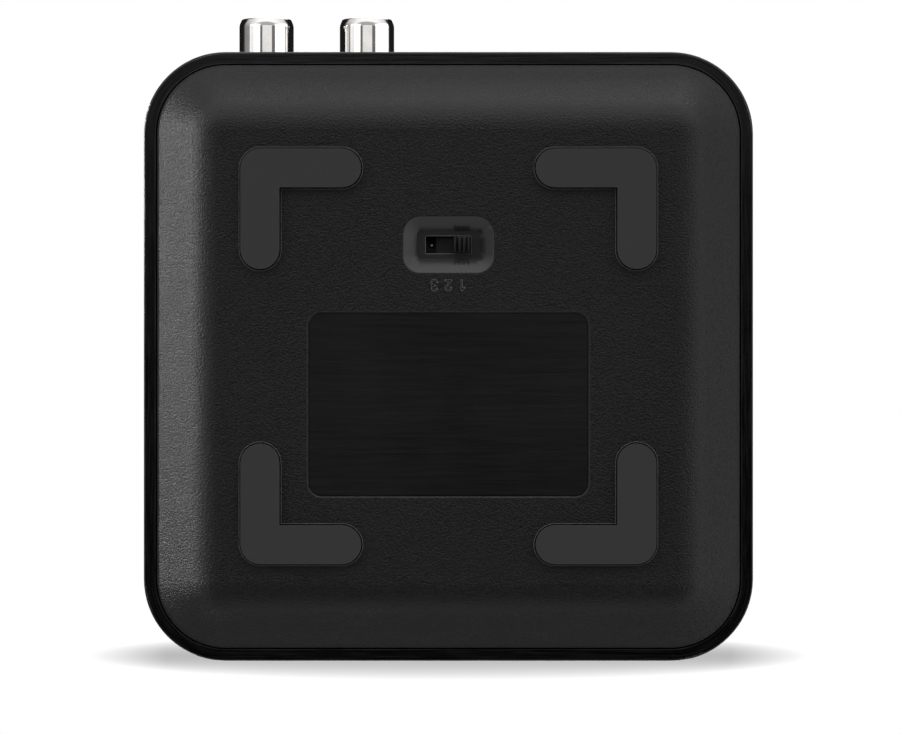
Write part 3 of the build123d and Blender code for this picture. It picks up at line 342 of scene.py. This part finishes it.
def board_green():
    f = Finish("board_green", {"IOR": 1.5, "Coat Weight": 0.3, "Coat Roughness": 0.2})
    fast = f.stretched((1, 1, 0.3))
    lanes = f.node(
        "ShaderNodeTexBrick",
        {"Vector": fast, "Scale": 230.0, "Mortar Size": 0.05, "Brick Width": 1.7, "Row Height": 0.33},
    ).outputs["Fac"]
    weave = f.cells(0.35, fast)
    pads = f.spread(f.cells(3.4, fast), 0.0, 0.16, 1, 0)
    colour = f.tint(lanes, (0.006, 0.05, 0.02), (0.014, 0.1, 0.038))
    colour = f.tint(f.spread(pads, 0.45, 0.55, 0, 1), colour, (0.46, 0.4, 0.26))
    rough = f.spread(weave, 0.1, 0.8, 0.28, 0.42)
    height = f.sums("ADD", lanes, f.sums("MULTIPLY", weave, 0.2))
    return f.wear(colour=colour, rough=rough, normal=f.relief(height, 0.015))


def can_aluminium():
    f = Finish("can_aluminium", {"Metallic": 1.0})
    rings = f.specks(0.09, f.stretched((1, 1, 0.1)), detail=3.0)
    cloud = f.specks(1.4, detail=3.0)
    rough = f.spread(rings, 0.3, 0.7, 0.2, 0.34)
    colour = f.tint(f.spread(cloud, 0.35, 0.7, 0, 1), (0.74, 0.75, 0.76), (0.58, 0.59, 0.61))
    return f.wear(colour=colour, rough=rough, normal=f.relief(rings, 0.002))


def lamp_clear():
    f = Finish("lamp_clear", {"IOR": 1.49, "Transmission Weight": 0.35, "Coat Weight": 0.3})
    frost = f.specks(0.08, detail=2.0)
    cloud = f.specks(0.6, detail=2.0)
    colour = f.tint(cloud, (0.72, 0.78, 0.84), (0.86, 0.88, 0.9))
    return f.wear(colour=colour, rough=f.spread(frost, 0.3, 0.7, 0.18, 0.34), normal=f.relief(frost, 0.003))


WHITE_PLASTIC = dict(light=(0.78, 0.77, 0.74), dark=(0.7, 0.69, 0.66), low=0.28, high=0.4)
RED_PLASTIC = dict(light=(0.52, 0.012, 0.014), dark=(0.42, 0.008, 0.01), low=0.28, high=0.4)
BLACK_NYLON = dict(light=(0.02, 0.02, 0.0205), dark=(0.011, 0.011, 0.0115), low=0.34, high=0.48)
CHIP_RESIN = dict(light=(0.024, 0.024, 0.025), dark=(0.014, 0.014, 0.0145), low=0.5, high=0.66)
TAN_CERAMIC = dict(light=(0.62, 0.52, 0.38), dark=(0.46, 0.38, 0.27), low=0.36, high=0.5)
GREY_FERRITE = dict(light=(0.06, 0.058, 0.056), dark=(0.03, 0.03, 0.029), low=0.5, high=0.7)

FINISHES = {
    "casing_black": casing_black(),
    "panel_black": panel_black(),
    "cover_black": cover_black(),
    "panel_satin": panel_satin(),
    "foot_rubber": foot_rubber(),
    "label_black": label_black(),
    "plating": plating(),
    "contact_metal": contact_metal(),
    "insulator_white": moulded("insulator_white", **WHITE_PLASTIC),
    "insulator_red": moulded("insulator_red", **RED_PLASTIC),
    "jack_black": moulded("jack_black", **BLACK_NYLON),
    "chip_black": moulded("chip_black", grain_size=0.07, **CHIP_RESIN),
    "ceramic": moulded("ceramic", **TAN_CERAMIC),
    "ferrite": moulded("ferrite", grain_size=0.18, depth=0.012, **GREY_FERRITE),
    "sheet_steel": sheet_steel(),
    "screw_steel": screw_steel(),
    "board_green": board_green(),
    "can_aluminium": can_aluminium(),
    "lamp_clear": lamp_clear(),
}

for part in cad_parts.values():
    for cut in part.material_slots:
        cut.material = FINISHES[cut.material.name.split(".")[0]]


# ---------------------------------------------------------------- shaping a piece

ROUND_STEPS = 6
TURN_STEPS = 72
JOIN_WITHIN = 0.002 * MM
CREASE_ANGLE = math.radians(35)
UP, REARWARD = Vector((0, 0, 1)), Vector((0, 1, 0))


def round_off(shape, sharp, width, affect="EDGES", steps=3):
    """Rounds corners or edges, width millimetres wide."""
    bmesh.ops.bevel(
        shape,
        geom=sharp,
        offset=width * MM,
        offset_type="OFFSET",
        affect=affect,
        segments=steps,
        profile=0.5,
        material=-1,
        clamp_overlap=True,
    )


def rounded_face(shape, corners):
    """A flat face through the corners, each a place and how far it is rounded, in millimetres."""
    made = [shape.verts.new(Vector(place) * MM) for place, _ in corners]
    shape.faces.new(made)
    for corner, (_, rounding) in zip(made, corners):
        if rounding:
            round_off(shape, [corner], rounding, "VERTICES", ROUND_STEPS)


def edges_at(shape, height):
    """The edges that lie level at a height in millimetres."""
    return [
        edge for edge in shape.edges
        if all(abs(vert.co.z - height * MM) < JOIN_WITHIN for vert in edge.verts)
    ]


def thicken(shape, thickness):
    """Pulls the flat faces upwards into a closed plate, thickness millimetres thick."""
    pulled = bmesh.ops.extrude_face_region(shape, geom=shape.faces[:])["geom"]
    lifted = [part for part in pulled if isinstance(part, bmesh.types.BMVert)]
    bmesh.ops.translate(shape, vec=UP * thickness * MM, verts=lifted)


def turned(outline, centre, axis):
    """Turns an outline once round an axis. Each corner is (radius, along the axis, rounding) in mm."""
    shape = bmesh.new()
    centre = Vector(centre)
    rounded_face(shape, [
        (centre + Vector((radius, 0, 0)) + axis * along, rounding)
        for radius, along, rounding in outline
    ])
    bmesh.ops.delete(shape, geom=shape.faces[:], context="FACES_ONLY")
    on_axis = [
        edge for edge in shape.edges
        if all(abs(vert.co.x - centre.x * MM) < JOIN_WITHIN for vert in edge.verts)
    ]
    bmesh.ops.delete(shape, geom=on_axis, context="EDGES")
    bmesh.ops.spin(
        shape,
        geom=shape.verts[:] + shape.edges[:],
        cent=centre * MM,
        axis=axis,
        dvec=(0, 0, 0),
        angle=math.tau,
        steps=TURN_STEPS,
        use_merge=True,
    )
    return shape


def finished(name, shape, body, slot, *stands_for):
    """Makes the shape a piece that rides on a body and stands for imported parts."""
    bmesh.ops.remove_doubles(shape, verts=shape.verts, dist=JOIN_WITHIN)
    bmesh.ops.recalc_face_normals(shape, faces=shape.faces)
    mesh = bpy.data.meshes.new(name)
    shape.to_mesh(mesh)
    shape.free()
    mesh.shade_smooth()
    mesh.set_sharp_from_angle(angle=CREASE_ANGLE)
    mesh.materials.append(FINISHES[slot])
    made = bpy.data.objects.new(name, mesh)
    bpy.context.scene.collection.objects.link(made)
    made.modifiers.new("evened_shading", "WEIGHTED_NORMAL").keep_sharp = True
    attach(made, body)
    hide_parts(*stands_for)
    return made


def box_mm(node):
    """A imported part's lowest and highest corner in millimetres."""
    low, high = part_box(node)
    return low / MM, high / MM


# ---------------------------------------------------------------- feet and label

FOOT_WIDTH = 5.8
FOOT_CORNER = 3.0
FOOT_END = FOOT_WIDTH / 2 - 0.001
FOOT_EDGE = 0.3
FOOT_ELBOW = 0.15
LABEL_CORNER = 1.9
LABEL_EDGE = 0.06


def l_foot(side_x, side_y):
    """A soft L-shaped foot with its corner towards one corner of the casing, side_x and side_y away."""
    name = f"foot_{'rear' if side_y > 0 else 'front'}_{'right' if side_x > 0 else 'left'}"
    low, high = box_mm(name)
    near_x, far_x = (low.x, high.x) if side_x > 0 else (high.x, low.x)
    near_y, far_y = (low.y, high.y) if side_y > 0 else (high.y, low.y)
    inner_x, inner_y = far_x - side_x * FOOT_WIDTH, far_y - side_y * FOOT_WIDTH
    shape = bmesh.new()
    rounded_face(shape, [
        ((far_x, far_y, low.z), FOOT_CORNER),
        ((near_x, far_y, low.z), FOOT_END),
        ((near_x, inner_y, low.z), FOOT_END),
        ((inner_x, inner_y, low.z), FOOT_ELBOW),
        ((inner_x, near_y, low.z), FOOT_END),
        ((far_x, near_y, low.z), FOOT_END),
    ])
    thicken(shape, high.z - low.z)
    round_off(shape, edges_at(shape, low.z), FOOT_EDGE, steps=5)
    return finished("soft_" + name, shape, "receiver", "foot_rubber", name)


def label_plate():
    """A thin plate with its visible edge just broken."""
    low, high = box_mm("rating_label")
    shape = bmesh.new()
    sides = ((low.x, low.y), (high.x, low.y), (high.x, high.y), (low.x, high.y))
    rounded_face(shape, [((*side, low.z), LABEL_CORNER) for side in sides])
    thicken(shape, high.z - low.z)
    round_off(shape, edges_at(shape, low.z), LABEL_EDGE, steps=3)
    return finished("label_plate", shape, "receiver", "label_black", "rating_label")


for side_x in (1, -1):
    for side_y in (1, -1):
        l_foot(side_x, side_y)
label_plate()


# ---------------------------------------------------------------- sockets at the rear

SHELL_BORE = 3.72
SHELL_RADIUS = 4.15
SHELL_LIP = 3.45
FLANGE_THICK = 1.2
SHELL_ROOT = 4.0
LIP_TALL = 0.9
LIP_INSET = 0.4
LIP_THICK = 0.42
PIN_HOLE = 1.87
FUNNEL_RADIUS = 2.5
FACE_BACK = 0.5


def phono_shell(side):
    """A plated shell whose rim is rolled in over the insulator."""
    low, high = box_mm("phono_shell_" + side)
    flange_radius = (high.x - low.x) / 2
    centre = ((low.x + high.x) / 2, 0, (low.z + high.z) / 2)
    flange_y = low.y + SHELL_ROOT
    lip_y = high.y - LIP_TALL
    outline = (
        (SHELL_BORE, low.y, 0),
        (SHELL_RADIUS, low.y, 0),
        (SHELL_RADIUS, flange_y, 0),
        (flange_radius, flange_y, 0.12),
        (flange_radius, flange_y + FLANGE_THICK, 0.3),
        (SHELL_RADIUS, flange_y + FLANGE_THICK, 0.15),
        (SHELL_RADIUS, lip_y, 0.35),
        (SHELL_RADIUS - LIP_INSET, high.y, 0.18),
        (SHELL_LIP, high.y, 0.1),
        (SHELL_LIP, high.y - LIP_THICK, 0),
        (SHELL_BORE, high.y - LIP_THICK, 0),
    )
    shape = turned(outline, centre, REARWARD)
    return finished("rolled_shell_" + side, shape, "receiver", "plating", "phono_shell_" + side)


def phono_insulator(colour, side):
    """The coloured core of a phono socket, with a funnel into its centre hole."""
    low, high = box_mm("phono_insulator_" + colour)
    radius = (high.x - low.x) / 2
    centre = ((low.x + high.x) / 2, 0, (low.z + high.z) / 2)
    outline = (
        (PIN_HOLE, low.y, 0),
        (radius, low.y, 0),
        (radius, high.y, 0.15),
        (FUNNEL_RADIUS, high.y, 0.12),
        (PIN_HOLE, high.y - FACE_BACK, 0.08),
    )
    shape = turned(outline, centre, REARWARD)
    name = f"{side}_core_{colour}"
    return finished(name, shape, "receiver", "insulator_" + colour, "phono_insulator_" + colour)


shells = [phono_shell(side) for side in ("right", "left")]
phono_insulator("red", "right")
phono_insulator("white", "left")


# ---------------------------------------------------------------- button, lamp and selector

BUTTON_RADIUS = 7.0
DECK_LOW = 22.0
STEM_RADIUS = 1.9
UNDER_DECK = 0.1
CAP_FLANGE = 0.9
RING_OUTER, RING_MIDDLE, RING_FOOT, RING_INNER = 6.25, 6.15, 6.0, 5.9
RING_DEEP, HOLLOW_EDGE_DEEP, HOLLOW_DEEP, HOLLOW_RADIUS = 0.12, 0.02, 0.3, 3.0
LENS_RADIUS = 1.0
LENS_FLANGE = 0.9
DOME_TALL, DOME_RADIUS = 0.14, 0.55
RIBS = 4
RIB_WIDTH = 0.3
RIB_TALL = 0.25
RIB_EDGE, SLIDER_EDGE = 0.06, 0.12
RIB_CORNER_ANGLE = 1.0
BELOW_GROOVE = 0.02
KNOB_WIDTH, KNOB_DEPTH, SLIDER_THICK = 2.35, 2.4, 0.9


def pairing_button():
    """A round cap with a shallow hollow inside a polished ring, its flange under the deck and its stem."""
    low, high = box_mm("pairing_button")
    centre = ((low.x + high.x) / 2, (low.y + high.y) / 2, 0)
    flange_radius, flange_top = (high.x - low.x) / 2, DECK_LOW - UNDER_DECK
    outline = (
        (0, low.z, 0),
        (STEM_RADIUS, low.z, 0.2),
        (STEM_RADIUS, flange_top - CAP_FLANGE, 0.2),
        (flange_radius, flange_top - CAP_FLANGE, 0.1),
        (flange_radius, flange_top, 0.1),
        (BUTTON_RADIUS, flange_top, 0),
        (BUTTON_RADIUS, high.z, 0.5),
        (RING_OUTER, high.z, 0.06),
        (RING_MIDDLE, high.z - RING_DEEP, 0.04),
        (RING_FOOT, high.z - RING_DEEP, 0.04),
        (RING_INNER, high.z - HOLLOW_EDGE_DEEP, 0.06),
        (HOLLOW_RADIUS, high.z - HOLLOW_DEEP, 2.8),
        (0, high.z - HOLLOW_DEEP, 0),
    )
    shape = turned(outline, centre, UP)
    return finished("dished_button", shape, "button", "panel_black", "pairing_button")


def lamp_lens():
    """The clear rod over the lamp, with a domed end."""
    low, high = box_mm("light_pipe")
    centre = ((low.x + high.x) / 2, (low.y + high.y) / 2, 0)
    flange_radius = (high.x - low.x) / 2
    outline = (
        (0, low.z, 0),
        (LENS_RADIUS, low.z, 0.1),
        (LENS_RADIUS, DECK_LOW - LENS_FLANGE, 0),
        (flange_radius, DECK_LOW - LENS_FLANGE, 0.1),
        (flange_radius, DECK_LOW, 0.1),
        (LENS_RADIUS, DECK_LOW, 0),
        (LENS_RADIUS, high.z - DOME_TALL, 0.1),
        (DOME_RADIUS, high.z, 0.4),
        (0, high.z, 0),
    )
    shape = turned(outline, centre, UP)
    return finished("lamp_lens", shape, "receiver", "lamp_clear", "light_pipe")


def block(shape, low, high):
    """A box between two corners in millimetres."""
    low, high = Vector(low), Vector(high)
    made = bmesh.ops.create_cube(shape, size=1.0)["verts"]
    bmesh.ops.scale(shape, vec=(high - low) * MM, verts=made)
    bmesh.ops.translate(shape, vec=(low + high) / 2 * MM, verts=made)
    return made


def ribbed_knob():
    """The slider and the knob on it, with rounded finger ribs across its face."""
    low, high = box_mm("selector_knob")
    centre = (low + high) / 2
    shape = bmesh.new()
    half_width, half_depth = KNOB_WIDTH / 2, KNOB_DEPTH / 2
    groove_z = low.z + RIB_TALL
    block(
        shape,
        (centre.x - half_width, centre.y - half_depth, groove_z),
        (centre.x + half_width, centre.y + half_depth, high.z - SLIDER_THICK / 2),
    )
    pitch = (KNOB_WIDTH - RIB_WIDTH) / (RIBS - 1)
    rib_middles = [centre.x + pitch * (rib - (RIBS - 1) / 2) for rib in range(RIBS)]
    for middle in rib_middles:
        for side in (-1, 1):
            cut = Vector((middle + side * RIB_WIDTH / 2, 0, 0)) * MM
            everything = shape.verts[:] + shape.edges[:] + shape.faces[:]
            bmesh.ops.bisect_plane(shape, geom=everything, dist=JOIN_WITHIN, plane_co=cut, plane_no=(1, 0, 0))
    crests = [
        face for face in shape.faces
        if face.normal.z < -0.9
        and any(abs(face.calc_center_median().x / MM - middle) < RIB_WIDTH / 2 for middle in rib_middles)
    ]
    pulled = bmesh.ops.extrude_face_region(shape, geom=crests)["geom"]
    lifted = [part for part in pulled if isinstance(part, bmesh.types.BMVert)]
    bmesh.ops.translate(shape, vec=-UP * RIB_TALL * MM, verts=lifted)
    bmesh.ops.remove_doubles(shape, verts=shape.verts, dist=JOIN_WITHIN)
    sharp = [
        edge for edge in shape.edges
        if edge.is_manifold and edge.calc_face_angle() > RIB_CORNER_ANGLE
        and min(vert.co.z for vert in edge.verts) < (groove_z + BELOW_GROOVE) * MM
    ]
    round_off(shape, sharp, RIB_EDGE, steps=3)
    slider = bmesh.new()
    block(slider, (low.x, low.y, high.z - SLIDER_THICK), high)
    round_off(slider, slider.edges[:], SLIDER_EDGE, steps=3)
    spare = bpy.data.meshes.new("slider")
    slider.to_mesh(spare)
    slider.free()
    shape.from_mesh(spare)
    bpy.data.meshes.remove(spare)
    return finished("ribbed_knob", shape, "selector", "jack_black", "selector_knob")


pairing_button()
lamp_lens()
ribbed_knob()


# ---------------------------------------------------------------- the studio

CAMERA_PLACE = Vector((-0.24, -4.34, -600.0)) * MM
CAMERA_LENS = 161.1
SHADE_HEIGHT = 26.0 * MM
SHADE_CENTRE_Y = -49.25 * MM
SHADE_HALF_X = 55.7 * MM
SHADE_HALF_Y = 3.73 * MM
SHADE_DEEPEST = 0.5
SHADE_END_SLOPE = 42.0
SHADE_ENDS_HALF_Y = 0.1 * MM
FLOOR_HALF = 0.9
FLOOR_FADE_START, FLOOR_FADE_STOP = 0.1, 0.42


def flat_sheet(name, half_x, half_y, middle, faces_down=False):
    """A stage sheet that only the camera sees: it neither lights nor shades the receiver."""
    sheet = bmesh.new()
    bmesh.ops.create_grid(sheet, x_segments=1, y_segments=1, size=1.0)
    bmesh.ops.scale(sheet, vec=(half_x, half_y, 1), verts=sheet.verts)
    bmesh.ops.translate(sheet, vec=middle, verts=sheet.verts)
    if faces_down:
        bmesh.ops.reverse_faces(sheet, faces=sheet.faces)
    mesh = bpy.data.meshes.new(name)
    sheet.to_mesh(mesh)
    sheet.free()
    made = bpy.data.objects.new(name, mesh)
    bpy.context.scene.collection.objects.link(made)
    for kind in ("diffuse", "glossy", "transmission", "shadow", "volume_scatter"):
        setattr(made, "visible_" + kind, False)
    return made


def stage_finish(sheet, kind, feeds, amount):
    """Gives the sheet a shader that shows by amount on its front, and not at all on its back.

    amount is a function from the mixing and the sheet's x and y to a strength from 0 to 1.
    """
    material = bpy.data.materials.new(sheet.name + "_finish")
    material.use_nodes = True
    material.node_tree.nodes.clear()
    f = Mixing(material.node_tree)
    x, y, _ = f.split(f.node("ShaderNodeTexCoord").outputs["Object"])
    front = f.sums("SUBTRACT", 1.0, f.node("ShaderNodeNewGeometry").outputs["Backfacing"])
    clear = f.node("ShaderNodeBsdfTransparent").outputs[0]
    shown = f.sums("MULTIPLY", front, amount(f, x, y))
    surface = f.shared(shown, clear, f.node(kind, feeds).outputs[0])
    f.node("ShaderNodeOutputMaterial", {"Surface": surface})
    sheet.data.materials.append(material)


def floor_fade(f, x, y):
    """Full under the receiver and nothing far away from it."""
    return f.spread(f.length(x, y), FLOOR_FADE_START, FLOOR_FADE_STOP, 1, 0, "SMOOTHSTEP")


def shade_depth(f, x, y):
    """A long lens of painted shade, darkest along its middle, whose ends run out evenly."""
    across = f.sums("ABSOLUTE", x)
    share = f.sums("DIVIDE", across, SHADE_HALF_X)
    half = f.sums("SQRT", f.sums("SUBTRACT", 1.0, f.sums("MULTIPLY", share, share), clamp=True))
    half = f.sums("MAXIMUM", f.sums("MULTIPLY", half, SHADE_HALF_Y), SHADE_ENDS_HALF_Y)
    step = f.sums("DIVIDE", f.sums("SUBTRACT", y, SHADE_CENTRE_Y), half)
    bulge = f.sums("SUBTRACT", 1.0, f.sums("MULTIPLY", step, step), clamp=True)
    ends = f.sums("MULTIPLY", f.sums("SUBTRACT", SHADE_HALF_X, across), SHADE_END_SLOPE)
    ends = f.sums("MAXIMUM", f.sums("MINIMUM", ends, SHADE_DEEPEST), 0.0)
    return f.sums("MULTIPLY", bulge, ends)


def set_world():
    """White to the eye. To the receiver, a dark room with a band of light round its underside.

    The band starts a little round from the camera's side, later at the sides, and stops a little
    above the horizon, and its brightness differs towards the rear, front, right and left.
    """
    world = bpy.data.worlds.new("studio_air")
    bpy.context.scene.world = world
    world.use_nodes = True
    world.node_tree.nodes.clear()
    f = Mixing(world.node_tree)
    x, y, z = f.split(f.node("ShaderNodeTexCoord").outputs["Generated"])
    rear_front = f.sums("MAXIMUM", f.sums("MULTIPLY", y, BAND_REAR), f.sums("MULTIPLY", y, -BAND_FRONT))
    sides = f.sums("MAXIMUM", f.sums("MULTIPLY", x, BAND_LEFT), f.sums("MULTIPLY", x, -BAND_RIGHT))
    rear_front = f.sums("MULTIPLY", rear_front, f.spread(z, *BAND_START, 0, 1, "SMOOTHSTEP"))
    sides = f.sums("MULTIPLY", sides, f.spread(z, *SIDE_BAND_START, 0, 1, "SMOOTHSTEP"))
    band = f.length(rear_front, sides)
    band = f.sums("MULTIPLY", band, f.spread(z, *BAND_STOP, 1, 0, "SMOOTHSTEP"))
    near_eye = f.spread(y, *REAR_GLOW_START, 0, REAR_GLOW, "SMOOTHSTEP")
    near_eye = f.sums("MULTIPLY", near_eye, f.spread(z, -0.6, 0, 1, 0, "SMOOTHSTEP"))
    strength = f.sums("ADD", f.sums("ADD", band, near_eye), AIR)
    room = f.node("ShaderNodeBackground", {"Color": (1, 1, 1, 1), "Strength": strength}).outputs[0]
    white = f.node("ShaderNodeBackground", {"Color": (1, 1, 1, 1)}).outputs[0]
    seen = f.node("ShaderNodeLightPath").outputs["Is Camera Ray"]
    f.node("ShaderNodeOutputWorld", {"Surface": f.shared(seen, room, white)})


def hang_light(name, place, wide, high, watts, aim=Vector(), only_on=()):
    """A soft lamp at place in metres, turned to aim, that may shine on a few pieces only."""
    lamp = bpy.data.lights.new(name, "AREA")
    lamp.shape, lamp.size, lamp.size_y = "RECTANGLE", wide, high
    lamp.energy = watts
    made = bpy.data.objects.new(name, lamp)
    made.location = place
    made.rotation_mode = "QUATERNION"
    back = (Vector(place) - aim).normalized()
    side = REARWARD.cross(back).normalized()
    made.rotation_quaternion = Matrix((side, back.cross(side), back)).transposed().to_quaternion()
    made.visible_camera = False
    if only_on:
        lit = bpy.data.collections.new(name + "_lit")
        for piece in only_on:
            lit.objects.link(piece)
        made.light_linking.receiver_collection = lit
    bpy.context.scene.collection.objects.link(made)


AIR = 0.012
BAND_REAR, BAND_FRONT, BAND_RIGHT, BAND_LEFT = 1.03, 0.5, 0.8, 0.26
BAND_START, SIDE_BAND_START, BAND_STOP = (-0.76, -0.58), (-0.62, -0.3), (0.1, 0.4)
REAR_GLOW, REAR_GLOW_START = 0.46, (0.04, 0.15)
LAMP_AWAY = 0.6


def lamp_place(from_eye, towards):
    """A spot LAMP_AWAY off, from_eye degrees round from the camera's side towards a direction."""
    angle = math.radians(from_eye)
    return (Vector((*towards, 0)) * math.sin(angle) - Vector((0, 0, math.cos(angle)))) * LAMP_AWAY


# Each lamp: its name, place, width and height in metres, and watts.
LIGHTS = (
    ("left_strip", lamp_place(66, (1, 0)), 0.2, 0.6, 0.28),
    ("front_overhead", (0.1, -0.55, 0.6), 0.6, 0.4, 3.0),
    ("rear_overhead", (-0.1, 0.6, 0.5), 0.6, 0.4, 2.0),
)
LEFT_KEY = ("left_key", lamp_place(99, (1, 0.16)), 0.04, 0.12, 1.5)

# Each shell lamp: its name, degrees round from the camera, degrees it spans, height and brightness.
SHELL_LAMP_AWAY = 0.4
SHELL_LAMP_REARWARD = 0.08
SHELL_LAMPS = (
    ("shell_strip", -40, 28, 0.3, 1.5),
    ("shell_middle", 4, 40, 0.09, 0.75),
    ("shell_side", 71, 66, 0.3, 1.3),
)

camera_data = bpy.data.cameras.new("camera")
camera_data.lens = CAMERA_LENS
camera_data.clip_start, camera_data.clip_end = 0.01, 20.0
camera = bpy.data.objects.new("camera", camera_data)
camera.location = CAMERA_PLACE
camera.rotation_euler = (0, math.pi, 0)
bpy.context.scene.collection.objects.link(camera)
bpy.context.scene.camera = camera
bpy.context.scene.view_settings.view_transform = "Standard"

floor = flat_sheet("floor", FLOOR_HALF, FLOOR_HALF, (0, 0, 0))
stage_finish(floor, "ShaderNodeBsdfDiffuse", {"Color": (0.93, 0.93, 0.935, 1)}, floor_fade)
# Painted shadow: a black sheet behind the receiver, seen only from below, stands in for the contact shadow
# along its front edge.
shade_middle = (0, SHADE_CENTRE_Y, SHADE_HEIGHT)
shade = flat_sheet("front_shade", SHADE_HALF_X * 1.05, SHADE_HALF_Y * 1.6, shade_middle, faces_down=True)
stage_finish(shade, "ShaderNodeEmission", {"Strength": 0.0}, shade_depth)
set_world()
for lamp_row in LIGHTS:
    hang_light(*lamp_row)
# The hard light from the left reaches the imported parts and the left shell, and no other new piece.
dull_parts = [part for name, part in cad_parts.items() if not name.startswith("phono_shell")]
hang_light(*LEFT_KEY, only_on=[*dull_parts, shells[1]])
shell_corners = [Vector(corner) for shell in shells for corner in shell.bound_box]
shell_middle = sum(shell_corners, Vector()) / len(shell_corners)
for name, turn, spans, tall, radiance in SHELL_LAMPS:
    angle = math.radians(turn)
    place = shell_middle + Vector((-math.sin(angle), SHELL_LAMP_REARWARD, -math.cos(angle))) * SHELL_LAMP_AWAY
    wide = 2 * SHELL_LAMP_AWAY * math.tan(math.radians(spans) / 2)
    hang_light(name, place, wide, tall, radiance * math.pi * wide * tall, shell_middle, shells)
